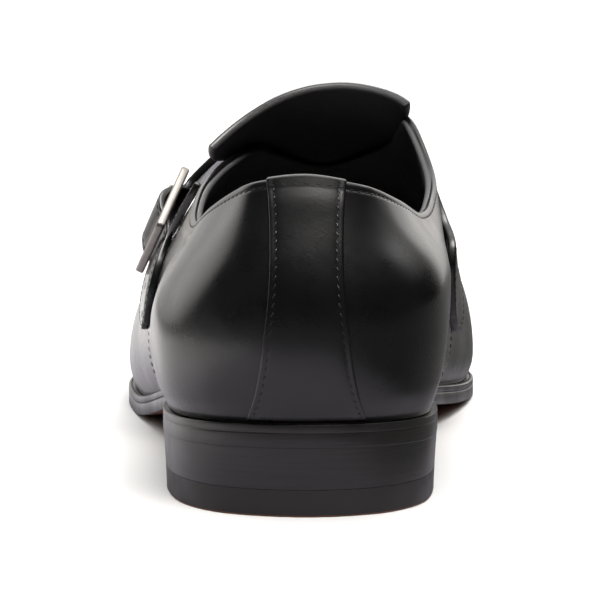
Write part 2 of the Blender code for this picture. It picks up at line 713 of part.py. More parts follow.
# Rows along its middle line, in millimetres: station, distance from the ridge, half width,
# clearance over the instep and how much higher its rear edge stands. It goes under the buckle's
# upper bar, over its middle bar, under its lower bar and ends in a rounded point.
STRAP_PATH = (
    (118.4, 81.2, 0.9, 1.2, 0.0),
    (118.8, 80.4, 4.6, 1.2, 0.0),
    (119.9, 78.5, 8.4, 1.3, 0.0),
    (122.1, 75.0, 11.5, 1.7, 0.0),
    (125.2, 70.2, 12.9, 2.2, 0.0),
    (128.4, 64.2, 12.6, 2.1, 0.0),
    (131.3, 56.0, 11.3, 1.5, 0.0),
    (133.3, 46.0, 10.4, 1.3, 0.0),
    (134.7, 36.5, 10.2, 1.9, 0.0),
    (135.8, 26.0, 10.2, 4.1, 0.0),
    (136.8, 10.0, 10.2, 4.2, 0.0),
    (136.8, -8.0, 10.0, 4.2, 0.0),
    (135.8, -22.0, 9.7, 4.1, 0.0),
    (134.0, -34.0, 9.2, 3.5, 0.4),
    (131.9, -43.0, 8.7, 3.0, 1.1),
    (129.8, -47.6, 8.9, 2.9, 1.2),
    (127.2, -51.0, 9.2, 5.6, 1.1),
    (124.6, -54.2, 9.3, 6.9, 0.9),
    (121.9, -57.5, 9.3, 5.1, 0.5),
    (119.2, -60.8, 9.3, 1.6, 0.1),
    (116.6, -65.5, 9.6, 1.25, 0.0),
    (113.5, -71.5, 9.4, 1.25, 0.0),
    (110.5, -77.0, 7.8, 1.25, 0.0),
    (108.3, -81.0, 5.2, 1.25, 0.0),
    (107.2, -83.2, 2.8, 1.25, 0.0),
    (106.7, -84.2, 0.9, 1.25, 0.0),
)
PATH = np.array(STRAP_PATH) * 0.001
HOLE_RADIUS = 0.0012


def strap_line(t):
    """Station, distance, half width and clearances at the share t of the strap's path."""
    return catmull(PATH, t * (len(PATH) - 1), closed=False)


def strap_point(t, across, lift):
    """Across runs from the rear edge, -1, to the front edge, 1."""
    middle = strap_line(t)
    ahead = strap_line(min(t + 0.004, 1.0)) - strap_line(max(t - 0.004, 0.0))
    side = np.array([-ahead[1], ahead[0]]) / np.hypot(ahead[0], ahead[1])
    station, d = middle[:2] + side * middle[2] * across
    return lifted(station, d, middle[3] - middle[4] * across + lift)


def strap(columns=50, rows=4):
    def place(i, j, lift):
        return strap_point(i / columns, 2 * j / rows - 1, lift)
    return plate(columns, rows, place, 0.0, STRAP_THICK)


def prong_hole(sides=12):
    """The hole follows the prong's slope."""
    near, far = PRONG_PATH[3], PRONG_PATH[4]
    run, rise = far[0] - near[0], far[1] - near[1]
    length = math.hypot(run, rise)
    path = [(near[0] + run * k, near[1] + rise * k) for k in (-0.5, 1.6)]

    def place(k, angle):
        s, h = path[k]
        reach = HOLE_RADIUS * math.sin(angle)
        return in_buckle(HOLE_RADIUS * math.cos(angle), s - rise / length * reach,
                         h + run / length * reach)

    bm = bmesh.new()
    tube(bm, path, ring_angles(sides), place, closed=False)
    return bm


leather = add_object("strap", strap(), BLACK_CALF, 0.3)
combine(leather, add_object("hole_cutter", prong_hole(), BLACK_CALF, 0.3), "DIFFERENCE")


# Buckle tab: a stitched patch on the outer quarter under the buckle

TAB_FROM = (0.1228, -0.0490)
TAB_TO = (0.0965, -0.0535)
TAB_HALF = (0.0026, 0.0070)
TAB_NECK = (0.50, 0.72)     # shares of its length between which it widens
TAB_THICK = 0.0020


def buckle_tab(columns=12, rows=4):
    """Straight at its front end, rounded at its rear end."""
    along = np.array(TAB_TO) - TAB_FROM
    length = np.linalg.norm(along)
    side = np.array([-along[1], along[0]]) / length

    def place(i, j, lift):
        t = math.sin(math.pi / 2 * i / columns)
        half = np.interp(t, TAB_NECK, TAB_HALF)
        left = max(length * (1 - t), 0.0)
        if left < half:
            half = math.sqrt(max(half**2 - (half - left) ** 2, 1e-8))
        station, d = TAB_FROM + along * t + side * half * (2 * j / rows - 1)
        return lifted(station, d, LAP + GAP + lift)
    return plate(columns, rows, place, 0.0, TAB_THICK)


add_object("buckle_tab", buckle_tab(), BLACK_CALF, 0.3)
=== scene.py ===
"""Looks of a left monk strap dress shoe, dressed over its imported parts.

Everything is in metres in the parts' own frame: +X to the inner side of the foot, +Y from the
heel to the toe, +Z up, with the origin in the middle of the heel's rest face.
"""
import functools
import math

import bmesh
import bpy
import numpy as np
from mathutils import Matrix, Vector


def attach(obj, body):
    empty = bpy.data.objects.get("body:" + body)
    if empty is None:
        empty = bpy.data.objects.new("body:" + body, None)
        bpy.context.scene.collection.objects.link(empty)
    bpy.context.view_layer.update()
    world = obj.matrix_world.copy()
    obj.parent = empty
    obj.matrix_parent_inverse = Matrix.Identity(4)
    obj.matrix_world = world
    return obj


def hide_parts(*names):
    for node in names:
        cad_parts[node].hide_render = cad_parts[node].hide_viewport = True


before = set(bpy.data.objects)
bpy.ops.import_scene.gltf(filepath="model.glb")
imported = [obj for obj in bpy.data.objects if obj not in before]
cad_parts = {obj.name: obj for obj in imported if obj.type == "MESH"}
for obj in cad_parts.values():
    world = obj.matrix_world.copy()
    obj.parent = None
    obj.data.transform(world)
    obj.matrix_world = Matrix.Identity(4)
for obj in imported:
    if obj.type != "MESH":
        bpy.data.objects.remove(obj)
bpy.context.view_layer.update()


# Upper. Black box calf, cut as a vamp and two quarters, lined with thin black leather and pulled
# over the last. The quarters lie over the vamp, and the top line is folded over and sewn down.

LAST_LENGTH = 0.300
BALL_WIDTH = 0.107
INSTEP_HEIGHT = 0.096
HEEL_HEIGHT = 0.0164
HEEL_BACK = -0.037
HEEL_LENGTH = 0.078
TOE_SPRING = 0.0100
GAP = 0.0003
UPPER_WALL = 0.0020
LAP = 0.0009
OUTSOLE_THICK = 0.0033
WELT_THICK = 0.0019
SEAT_SLOPE = 0.0437
BALL_LINE_AT = 0.190
BALL_LINE_SKEW = 0.42
SPRING_AT = 0.235
SPRING_POWER = 1.8
ROWS = 17
THROAT_ROW = 10
OUTER, INNER = -1, 1
SEAM_ROW = {OUTER: 7.2, INNER: 8.0}
SEAM_EDGE = 0.0006          # radius of the quarters' cut edge
SECTION_PITCH = 0.025       # from one section to the next along the quarters
FOOT = 0.10                 # share of the wall's height over which its layers start at the welt
LOWER_SHARE = 0.28          # share of its height that lies below the girth line
FEATHER_HANDLE = (0.45, 0.45, 0.25)
GIRTH_HANDLES = (0.50, 0.45)
MERGE = 2e-6                # points closer than this are one

# One row for each section of the last, from the heel's back to the toe: stations in per cent of
# its length, x in per cent of the ball's width and heights in per cent of the instep's height.
COLUMNS = ("feather_at", "feather_x", "girth_at", "girth_x", "girth_z",
           "top_at", "top_x", "top_z", "full", "stand")
OUTER_SIDE = (
    (0.8, 1.4, -0.7, 1.4, 43.8, 2.5, 1.4, 82.6, 0.40, 0.45),
    (1.5, -9.8, 0.1, -11.7, 43.8, 3.0, -8.9, 81.3, 0.40, 0.45),
    (3.3, -19.2, 2.3, -22.4, 42.7, 5.3, -13.8, 78.6, 0.40, 0.42),
    (7.0, -26.4, 6.7, -30.4, 41.7, 10.0, -19.4, 73.5, 0.40, 0.38),
    (12.7, -30.1, 13.3, -33.6, 41.7, 16.7, -23.5, 68.3, 0.40, 0.35),
    (20.0, -30.7, 20.7, -33.8, 38.5, 23.3, -25.0, 69.8, 0.40, 0.33),
    (28.3, -31.0, 28.3, -34.6, 34.4, 29.3, -23.7, 75.3, 0.40, 0.28),
    (36.7, -34.4, 36.7, -37.9, 30.2, 34.7, -19.2, 80.5, 0.38, 0.21),
    (45.0, -38.8, 45.0, -42.1, 25.0, 40.7, -11.7, 84.9, 0.38, 0.18),
    (53.3, -43.6, 53.3, -46.2, 19.3, 46.0, -6.1, 82.8, 0.42, 0.10),
    (61.7, -47.1, 61.7, -48.8, 14.6, 50.0, 6.1, 78.6, 0.48, 0.0),
    (69.3, -47.3, 69.3, -48.9, 13.5, 56.0, 5.6, 70.8, 0.50, 0.0),
    (76.7, -44.5, 76.7, -46.3, 13.5, 62.7, 5.1, 62.5, 0.52, 0.0),
    (84.0, -40.3, 84.0, -42.1, 14.6, 69.3, 4.7, 54.2, 0.54, 0.0),
    (90.3, -33.4, 90.3, -35.2, 16.7, 76.0, 4.2, 46.4, 0.56, 0.0),
    (95.6, -23.6, 95.6, -25.4, 19.3, 82.7, 3.7, 39.6, 0.58, 0.0),
    (99.0, -11.0, 99.3, -12.3, 21.4, 88.7, 3.5, 34.4, 0.60, 0.0),
    (100.0, 3.3, 100.3, 3.3, 22.4, 93.7, 3.3, 29.7, 0.60, 0.0),
)
INNER_SIDE = (
    (0.8, 1.4, -0.7, 1.4, 43.8, 2.5, 1.4, 82.6, 0.40, 0.45),
    (1.5, 12.1, 0.1, 14.5, 44.8, 3.0, 11.7, 80.8, 0.40, 0.45),
    (3.3, 20.8, 2.3, 24.8, 46.9, 5.3, 16.6, 78.8, 0.40, 0.45),
    (7.0, 27.5, 6.7, 31.3, 51.0, 10.0, 22.3, 74.9, 0.40, 0.45),
    (12.7, 30.3, 13.3, 33.8, 54.2, 16.7, 27.4, 70.6, 0.40, 0.45),
    (20.0, 30.5, 20.7, 34.6, 53.1, 23.3, 31.0, 72.4, 0.45, 0.45),
    (28.3, 29.7, 28.3, 34.8, 50.0, 29.3, 32.3, 79.8, 0.55, 0.40),
    (36.7, 31.4, 36.7, 36.7, 39.6, 34.7, 26.9, 93.5, 0.50, 0.075),
    (45.0, 36.1, 45.0, 39.8, 27.1, 40.7, 23.6, 87.0, 0.32, 0.06),
    (53.3, 41.9, 53.3, 44.9, 21.0, 46.0, 17.8, 82.8, 0.42, 0.07),
    (61.7, 46.7, 61.7, 49.3, 17.7, 50.0, 6.1, 78.6, 0.60, 0.0),
    (69.3, 49.0, 69.3, 50.7, 13.5, 56.0, 5.6, 70.8, 0.58, 0.0),
    (76.7, 47.5, 76.7, 49.3, 13.5, 62.7, 5.1, 62.5, 0.57, 0.0),
    (84.0, 43.2, 84.0, 45.0, 14.6, 69.3, 4.7, 54.2, 0.57, 0.0),
    (90.3, 37.2, 90.3, 39.1, 16.7, 76.0, 4.2, 46.4, 0.58, 0.0),
    (95.6, 28.4, 95.6, 30.3, 19.3, 82.7, 3.7, 39.6, 0.59, 0.0),
    (99.0, 17.2, 99.3, 18.6, 21.4, 88.7, 3.5, 34.4, 0.60, 0.0),
    (100.0, 3.3, 100.3, 3.3, 22.4, 93.7, 3.3, 29.7, 0.60, 0.0),
)


def sole_bottom(x, y):
    """Height of the outsole's underside."""
    station = y - HEEL_BACK
    seat = HEEL_HEIGHT - SEAT_SLOPE * min(station, HEEL_LENGTH)
    waist = BALL_LINE_AT + BALL_LINE_SKEW * x - HEEL_LENGTH
    t = min(max((station - HEEL_LENGTH) / waist, 0.0), 1.0)
    fall, glide = 2 * t**3 - 3 * t**2 + 1, t**3 - 2 * t**2 + t
    spring = max(station - SPRING_AT, 0.0) / (LAST_LENGTH - SPRING_AT)
    return seat * fall - SEAT_SLOPE * waist * glide + TOE_SPRING * spring**SPRING_POWER


def welt_bottom(x, y):
    return sole_bottom(x, y) + OUTSOLE_THICK + GAP


def welt_top(x, y):
    return welt_bottom(x, y) + WELT_THICK


def catmull(points, p, closed):
    """Point at parameter p on a smooth line through the rows of points."""
    count = len(points)
    start = int(math.floor(p)) if closed else min(int(p), count - 2)
    f = p - start

    def control(k):
        if closed:
            return points[k % count]
        if k < 0:
            return 2 * points[0] - points[1]
        if k >= count:
            return 2 * points[-1] - points[-2]
        return points[k]

    a, b, c, d = (control(start + k) for k in (-1, 0, 1, 2))
    return 0.5 * (2 * b + (c - a) * f + (2 * a - 5 * b + 4 * c - d) * f**2
                  + (3 * b - a - 3 * c + d) * f**3)


def side_points(table, part):
    """Feather, girth or top line of one side."""
    points = []
    for row in (dict(zip(COLUMNS, row)) for row in table):
        points.append((row[part + "_x"] / 100 * BALL_WIDTH,
                       HEEL_BACK + row[part + "_at"] / 100 * LAST_LENGTH,
                       row.get(part + "_z", 0.0) / 100 * INSTEP_HEIGHT))
    return np.array(points)


def loop(part, last_row):
    outer = side_points(OUTER_SIDE, part)[:last_row + 1]
    inner = side_points(INNER_SIDE, part)[1:last_row]
    return np.concatenate([outer, inner[::-1]])


FEATHER_LOOP = loop("feather", ROWS)
GIRTH_LOOP = loop("girth", ROWS)
RIM_LOOP = loop("top", THROAT_ROW)
RIDGE = side_points(OUTER_SIDE, "top")[THROAT_ROW:]
RIDGE = np.concatenate([RIDGE, RIDGE[-2:-1]])   # turned back at the toe, so that it ends smoothly
SHAPE = {OUTER: np.array(OUTER_SIDE)[:, 8:], INNER: np.array(INNER_SIDE)[:, 8:]}


def around(points, side, p):
    return catmull(points, p if side == OUTER else len(points) - p, closed=True)


def top(side, p):
    if p < THROAT_ROW:
        return around(RIM_LOOP, side, p)
    return catmull(RIDGE, p - THROAT_ROW, closed=False)


def bezier(a, b, c, d, t):
    s = 1 - t
    return a * s**3 + 3 * b * s**2 * t + 3 * c * s * t**2 + d * t**3


@functools.cache
def rails(side, p):
    """Feather, girth, top and the handle of the wall's upper end at section p."""
    low, wide, high = around(FEATHER_LOOP, side, p), around(GIRTH_LOOP, side, p), top(side, p)
    low[2] = welt_top(low[0], low[1]) + GAP
    reach = high - wide
    full, stand = np.mean([[np.interp(q, range(ROWS + 1), SHAPE[side][:, k]) for k in (0, 1)]
                           for q in (p - 0.3, p - 0.1, p + 0.1, p + 0.3)], axis=0)
    handle = np.array([full * reach[0], full * min(1.0, 2.5 * stand) * reach[1],
                       stand * reach[2]])
    if p > THROAT_ROW:
        turn = ((p - THROAT_ROW) / (ROWS - THROAT_ROW)) ** 2
        along = top(side, p) - top(side, p - 0.04)
        handle[1:] = full * turn * reach[1] * along[1:] / along[1]
    return low, wide, high, handle


def wall(side, p, v):
    """Outside of the upper at section p, for heights v from the feather, 0, to the top, 1."""
    low, wide, high, handle = rails(side, p)
    v = np.asarray(v, float)[:, None]
    out = (wide - low) * FEATHER_HANDLE
    rise = (wide - low) * (0.0, 0.0, GIRTH_HANDLES[0])
    below = bezier(low, low + out, wide - rise, wide, v / LOWER_SHARE)
    rise = (high - wide) * (0.0, 0.0, GIRTH_HANDLES[1])
    above = bezier(wide, wide + rise, high - handle, high, (v - LOWER_SHARE) / (1 - LOWER_SHARE))
    return np.where(v < LOWER_SHARE, below, above)


def skin(side, p, v):
    """The wall's points and its unit normals."""
    dp, dv = 0.04, 0.02
    v = np.asarray(v, float)
    points = wall(side, p, v)
    upward = wall(side, p, np.minimum(v + dv, 1)) - wall(side, p, np.maximum(v - dv, 0))
    normals = side * np.cross(wall(side, p + dp, v) - wall(side, p - dp, v), upward)
    if p >= THROAT_ROW:
        ridge = np.cross((1.0, 0.0, 0.0), top(side, min(p + dp, ROWS))
                         - top(side, max(p - dp, THROAT_ROW)))
        normals = np.where(v[:, None] > 1 - 1e-9, ridge, normals)
    normals[:, 2] *= np.minimum(v / FOOT, 1)
    return points, normals / np.linalg.norm(normals, axis=1)[:, None]


def height_at(side, p, depth):
    """The height v at each depth below the top, measured along the wall."""
    v = np.linspace(1, 0, 241)
    steps = np.linalg.norm(np.diff(wall(side, p, v), axis=0), axis=1)
    along = np.concatenate([[0.0], np.cumsum(steps)])
    return np.interp(depth, along, v), along[-1]


def dip(distance, width):
    """A soft trough: 1 at its middle, and next to nothing at twice its width."""
    return np.exp(-(distance / width) ** 2)


def ease(value, low=0.0, high=1.0):
    """A smooth step from 0 to 1 between two values."""
    t = np.clip((value - low) / (high - low), 0, 1)
    return t * t * (3 - 2 * t)


def quarter_lap(side, p):
    """Height of the quarter's leather over the vamp's, with its rounded cut edge."""
    behind = (SEAM_ROW[side] - p) * SECTION_PITCH
    if behind <= 0:
        return -0.00012 * dip(behind, 0.0005)
    return LAP * math.sqrt(1 - (1 - min(behind / SEAM_EDGE, 1.0)) ** 2)


def rim_lap(side, p, depth):
    """The lap, carried on along the top line and let down gently towards the throat."""
    lap = quarter_lap(side, p)
    kept = LAP * np.clip((THROAT_ROW - 0.2 - p) / 2.4, 0, 1) * dip(depth, 0.0045)
    return np.maximum(lap, kept) if p > SEAM_ROW[side] - 0.03 else np.full(len(depth), lap)


def sheet(bm, points):
    """A grid of faces through an array of points, row by row."""
    rows, columns = points.shape[0] - 1, points.shape[1] - 1
    made = bmesh.ops.create_grid(bm, x_segments=columns, y_segments=rows, size=0.5)
    for vert in made["verts"]:
        vert.co = points[round((vert.co.y + 0.5) * rows), round((vert.co.x + 0.5) * columns)]
    return made["verts"]


def merge(bm):
    bmesh.ops.remove_doubles(bm, verts=bm.verts, dist=MERGE)


def add(name, data):
    """A new object in the scene."""
    obj = bpy.data.objects.new(name, data)
    bpy.context.scene.collection.objects.link(obj)
    return obj


def add_mesh(name, bm, materials=()):
    """A new object made of a bmesh."""
    mesh = bpy.data.meshes.new(name)
    bm.to_mesh(mesh)
    bm.free()
    for material in materials:
        mesh.materials.append(material)
    return add(name, mesh)


def finish(name, bm, materials, node=None, sharp=40):
    """Makes the object, hangs it on the root body and hides the imported part that it stands for.
    """
    bmesh.ops.recalc_face_normals(bm, faces=bm.faces)
    obj = add_mesh(name, bm, materials)
    obj.data.shade_smooth()
    obj.data.set_sharp_from_angle(angle=math.radians(sharp))
    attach(obj, "root")
    if node:
        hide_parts(node)
    return obj


WALL_ROWS = 36              # rows of points down the outside, below those along the top
RIM_DEPTH = 0.0010          # how deep the top edge's rounding goes
TOP_DEPTHS = np.array([0.0013, 0.0016, 0.0019, 0.0021, 0.0023, 0.0026, 0.0031, 0.0040, 0.0056,
                       0.0078])
RIM_TURNS = np.radians([0, 20, 38, 52, 62, 72, 81, 90, 99, 108, 118, 128, 142, 160, 180])
RIM_GROOVE = 0.00045        # where the leather and the lining meet along the top
TOP_GROOVE = (0.0021, 0.00028, 0.00016)     # depth below the top, width and depth of the seam
CREASES = ((0.168, 0.00012), (0.180, 0.00018), (0.193, 0.00010))    # where the ball flexes
CREASED_FROM = 8.5          # section behind which the creases have run out
UNEVEN = 0.00010            # slow rise and fall of the leather over the last


def column_places(side):
    """Sections that carry a column: even, and closer at the quarter's cut edge."""
    seam = SEAM_ROW[side]
    places = [k / 10 for k in range(ROWS * 10 + 1) if abs(k / 10 - seam) > 0.09]
    steps = (-0.0020, -0.0010, -0.0005, -0.0002, -0.00004, 0.0, 0.00006, 0.00015, 0.0003,
             0.0006, 0.0012, 0.0020)
    return sorted(places + [seam - step / SECTION_PITCH for step in steps])


def upper_column(side, p):
    """One column round the wall: outside from the welt up, over the top edge and down inside."""
    top_share = min(max((THROAT_ROW - p) / 0.25, 0.0), 1.0)
    _, length = height_at(side, p, [0.0])
    below = (length - TOP_DEPTHS[-1]) * np.arange(1, WALL_ROWS + 1) / WALL_ROWS
    depths = np.concatenate([TOP_DEPTHS, TOP_DEPTHS[-1] + below])[::-1]
    heights, _ = height_at(side, p, depths)
    lap = rim_lap(side, p, depths) * np.minimum(heights / FOOT, 1)
    points, normals = skin(side, p, heights)
    station = points[:, 1] - HEEL_BACK
    at, width, depth = TOP_GROOVE
    lift = lap - top_share * depth * dip(depths - at, width)
    if p > CREASED_FROM:
        for at, depth in CREASES:
            bend = dip(station - at - 0.05 * np.abs(points[:, 0] - 0.006), 0.0035)
            bend *= np.clip((heights - 0.25) / 0.3, 0, 1) * min((p - CREASED_FROM) / 0.7, 1)
            lift -= depth * bend
    fade = np.clip(heights / 0.2, 0, 1) * np.clip(depths / 0.02, 0, 1)
    lift += UNEVEN * fade * np.sin(p * 2.9 + heights * 5.0) * np.sin(heights * 11.0 + p * 1.3)
    outside = points + normals * lift[:, None]

    reach, middle = (UPPER_WALL + lap[-1]) / 2, (lap[-1] - UPPER_WALL) / 2
    depths = RIM_DEPTH * (1 - np.abs(np.sin(RIM_TURNS)) ** 0.75)
    depths += RIM_GROOVE * dip(RIM_TURNS - math.pi / 2, 0.30)
    depths *= top_share
    heights, _ = height_at(side, p, depths)
    points, normals = skin(side, p, heights)
    over = points + normals * (middle + reach * np.cos(RIM_TURNS))[:, None]

    depths = 0.0016 + (length - 0.0016) * (np.arange(0, 23) / 22) ** 1.2
    heights, _ = height_at(side, p, depths)
    points, normals = skin(side, p, heights)
    inside = points - normals * UPPER_WALL
    return np.concatenate([outside, over, inside, outside[:1]])


upper_places = [(OUTER, p) for p in column_places(OUTER)]
upper_places += [(INNER, p) for p in column_places(INNER)[::-1][1:-1]] + [(OUTER, 0.0)]
upper_points = np.array([upper_column(side, p) for side, p in upper_places])
upper_mesh = bmesh.new()
sheet(upper_mesh, upper_points.transpose(1, 0, 2))
rim_row = len(TOP_DEPTHS) + WALL_ROWS
lining_row = rim_row + len(RIM_TURNS) // 2 + 1
webs = []       # faces across the closed instep, where there is no top edge
for index, face in enumerate(upper_mesh.faces):
    row, column = divmod(index, len(upper_places) - 1)
    face.material_index = 1 if row >= lining_row else 0
    (_, near), (_, far) = upper_places[column], upper_places[column + 1]
    if min(near, far) >= THROAT_ROW and rim_row <= row < rim_row + len(RIM_TURNS) - 1:
        webs.append(face)
bmesh.ops.delete(upper_mesh, geom=webs, context="FACES_ONLY")
merge(upper_mesh)


def node(tree, kind, inputs=(), **settings):
    """A shader node with its settings, and its inputs given as values or linked sockets."""
    made = tree.nodes.new("ShaderNode" + kind)
    for key, value in settings.items():
        setattr(made, key, value)
    for key, value in dict(inputs).items():
        if isinstance(value, bpy.types.NodeSocket):
            tree.links.new(value, made.inputs[key])
        else:
            made.inputs[key].default_value = value
    return made


def noise(tree, place, scale, detail, **more):
    return node(tree, "TexNoise", {"Vector": place, "Scale": scale, "Detail": detail,
                                   **more}).outputs["Fac"]


def leather_grain():
    """Pores and fine wrinkles of calf, a slow unevenness of its polish, and faint rub marks."""
    tree = bpy.data.node_groups.new("leather grain", "ShaderNodeTree")
    tree.interface.new_socket("Scale", in_out="INPUT", socket_type="NodeSocketFloat")
    for key in ("Height", "Polish", "Rub"):
        tree.interface.new_socket(key, in_out="OUTPUT", socket_type="NodeSocketFloat")
    given, out = tree.nodes.new("NodeGroupInput"), tree.nodes.new("NodeGroupOutput")
    place = node(tree, "TexCoord").outputs["Object"]
    sized = node(tree, "VectorMath", {0: place, "Scale": given.outputs["Scale"]},
                 operation="SCALE").outputs["Vector"]
    pores = node(tree, "TexVoronoi", {"Vector": sized, "Scale": 1500.0, "Randomness": 0.9},
                 feature="SMOOTH_F1").outputs["Distance"]
    folds = noise(tree, sized, 620.0, 3.0, Distortion=0.4)
    fine = node(tree, "Math", {0: pores, 1: folds}, operation="ADD").outputs["Value"]
    slow = noise(tree, place, 46.0, 4.0, Roughness=0.6)
    waves = noise(tree, place, 75.0, 1.0)
    height = node(tree, "Math", {0: waves, 1: 5.0, 2: fine}, operation="MULTIPLY_ADD").outputs[0]
    streaks = node(tree, "Mapping", {"Vector": place, "Scale": (1.0, 0.18, 1.0),
                                     "Rotation": (0.5, 0.0, 0.4)}).outputs["Vector"]
    rub = noise(tree, streaks, 900.0, 2.0)
    marks = node(tree, "MapRange", {"Value": rub, "From Min": 0.66, "From Max": 0.80}).outputs[0]
    for key, value in (("Height", height), ("Polish", slow), ("Rub", marks)):
        tree.links.new(value, out.inputs[key])
    return tree


LEATHER_GRAIN = leather_grain()


def material(name, colour, roughness, metallic=0.0, specular=0.5, coat=0.0, coat_roughness=0.1):
    """A material with its uniform values on the shader's own sockets."""
    made = bpy.data.materials.new(name)
    made.use_nodes = True
    shader = made.node_tree.nodes["Principled BSDF"]
    for key, value in (("Base Color", (*colour, 1.0)), ("Roughness", roughness),
                       ("Metallic", metallic), ("Specular IOR Level", specular),
                       ("Coat Weight", coat), ("Coat Roughness", coat_roughness)):
        shader.inputs[key].default_value = value
    return made, made.node_tree, shader


def spread(tree, value, low, high):
    """A noise value spread between two limits."""
    return node(tree, "MapRange", {"Value": value, "From Min": 0.3, "From Max": 0.7,
                                   "To Min": low, "To Max": high}).outputs[0]


def blend(tree, share, low, high):
    """A colour between two colours."""
    ends = [end if isinstance(end, bpy.types.NodeSocket) else (*end, 1.0) for end in (low, high)]
    return node(tree, "Mix", {0: share, 6: ends[0], 7: ends[1]}, data_type="RGBA").outputs[2]


def surface(tree, shader, colour, rough, height, strength, depth):
    """Joins the colour, roughness and relief that change over a surface to its shader."""
    bump = node(tree, "Bump", {"Strength": strength, "Distance": depth, "Height": height})
    for key, value in (("Base Color", colour), ("Roughness", rough),
                       ("Normal", bump.outputs["Normal"])):
        tree.links.new(value, shader.inputs[key])


def leather(name, colour, smooth, rough, grain, coat=0.0, scale=1.0):
    """Dressed leather: its colour, roughness and surface all follow the grain."""
    made, tree, shader = material(name, colour, smooth, coat=coat, coat_roughness=0.16)
    marks = node(tree, "Group", {"Scale": scale}, node_tree=LEATHER_GRAIN).outputs
    polish = spread(tree, marks["Polish"], smooth, rough)
    dull = node(tree, "Math", {0: marks["Rub"], 1: 0.04, 2: polish}, operation="MULTIPLY_ADD")
    shade = blend(tree, marks["Polish"], colour, [value * 1.8 for value in colour])
    surface(tree, shader, shade, dull.outputs["Value"], marks["Height"], grain, 0.0004)
    return made


BLACK_CALF = leather("black calf", (0.0034, 0.0033, 0.0036), 0.23, 0.37, 0.032, coat=0.30)
# The upper's lining and the insole sock use the same black lining as the tongue's underside,
# painted lighter: painted fill light for the shoe's shaded inside.
LINING_WITH_PAINTED_FILL = leather("black lining with painted fill light", (0.0560, 0.0550, 0.0570), 0.52, 0.66, 0.20, scale=0.7)
TONGUE_LINING = leather("tongue lining", (0.0360, 0.0350, 0.0370), 0.52, 0.66, 0.20, scale=0.7)
finish("upper_leather", upper_mesh, (BLACK_CALF, LINING_WITH_PAINTED_FILL), "upper")


# Thread. Waxed black linen, sewn with a fine slanted stitch just inside each panel's edge.

STITCH_PITCH = 0.0021
STITCH_SIZE = (0.00068, 0.00021, 0.00019)   # half length, half width and half height
FLAT_STITCH = (0.00068, 0.00020, 0.00009)   # pulled down tight along the quarters' seams
SEAM_ROWS = (0.0016, 0.0032)                # rows of stitches from the edge of a double seam
STITCH_SLANT = 0.30
THREAD = leather("black thread", (0.0090, 0.0088, 0.0092), 0.34, 0.45, 0.25, scale=1.6)


def sew(bm, points, normals, pitch=STITCH_PITCH, size=STITCH_SIZE, slant=STITCH_SLANT, rise=0.3):
    """Stitches laid along a line on a surface, half sunk into it."""
    points, normals = np.asarray(points, float), np.asarray(normals, float)
    along = np.concatenate([[0.0], np.cumsum(np.linalg.norm(np.diff(points, axis=0), axis=1))])
    count = max(int(along[-1] / pitch), 1)
    for k in range(count):
        at = (k + 0.5) * along[-1] / count
        here, ahead, normal = (Vector([np.interp(s, along, line[:, axis]) for axis in range(3)])
                               for s, line in ((at - 1e-4, points), (at + 1e-4, points),
                                               (at, normals)))
        normal.normalize()
        forward = (ahead - here).normalized()
        forward = (forward + normal.cross(forward) * slant).normalized()
        across = normal.cross(forward)
        turn = Matrix((forward * size[0], across * size[1], normal * size[2])).transposed()
        place = Matrix.Translation((here + ahead) / 2 + normal * size[2] * rise)
        lengthwise = Matrix.Rotation(math.pi / 2, 4, "Y")
        bmesh.ops.create_uvsphere(bm, u_segments=6, v_segments=4, radius=1.0,
                                  matrix=place @ turn.to_4x4() @ lengthwise)


def wall_line(side, places, lift):
    """Points and normals over a list of sections and heights."""
    found = [skin(side, p, [v]) for p, v in places]
    points = np.array([point[0] + normal[0] * lift for point, normal in found])
    return points, np.array([normal[0] for _, normal in found])


upper_thread = bmesh.new()
for side in (OUTER, INNER):
    seam = SEAM_ROW[side]
    for inset in SEAM_ROWS:
        lower = [(seam - inset / SECTION_PITCH, v) for v in np.linspace(0.06, 0.97, 60)]
        sew(upper_thread, *wall_line(side, lower, LAP - 0.00005), size=FLAT_STITCH)
    rim = [(p, height_at(side, p, [TOP_GROOVE[0]])[0][0]) for p in np.linspace(0.62, seam, 90)]
    sew(upper_thread, *wall_line(side, rim, LAP - TOP_GROOVE[2]))
finish("upper_thread", upper_thread, (THREAD,))


# Back strip. A calf strip sewn down over the quarters' back seam with a row along each edge. Its
# top is folded over the top line and held by one more row.

OVERLAY_THICK = 0.0011
STRIP_THREAD_AT = 0.0015
STRIP_EDGE = 0.0006
FOLD_THICK = 0.0005         # skived thin where it folds over the top line
FOLD_ENDS_AT = 0.0070       # how far the fold reaches down inside
UNDER = 0.00006             # how far a panel's underside sinks into what it lies on
SEWN_IN = 0.00012           # depth of the line that a row of stitches presses in
EDGE_STEPS = np.array([0.0, 0.02, 0.08, 0.2, 0.4, 0.7, 1.0])


def rounded(inset, radius):
    """Height of a cut edge at a distance inside it, as a share of the full height."""
    return (1 - (1 - np.clip(inset / radius, 0, 1)) ** 2.6) ** (1 / 2.6)


def strip_half_width(v):
    """Narrow in the middle, a little wider at the top line and widest at the welt."""
    return 0.0080 + 0.0009 * v**12 + 0.0066 * (1 - v) ** 4.2


def strip_places(half):
    """Distances from the strip's middle line, closer together at its edges."""
    insets = np.concatenate([EDGE_STEPS * STRIP_EDGE, [0.0010, 0.0014, 0.0018, 0.0024]])
    one_side = np.concatenate([half - insets, (half - 0.0024) * np.linspace(1, 0, 7)[1:]])
    return np.concatenate([-one_side, one_side[-2::-1]])


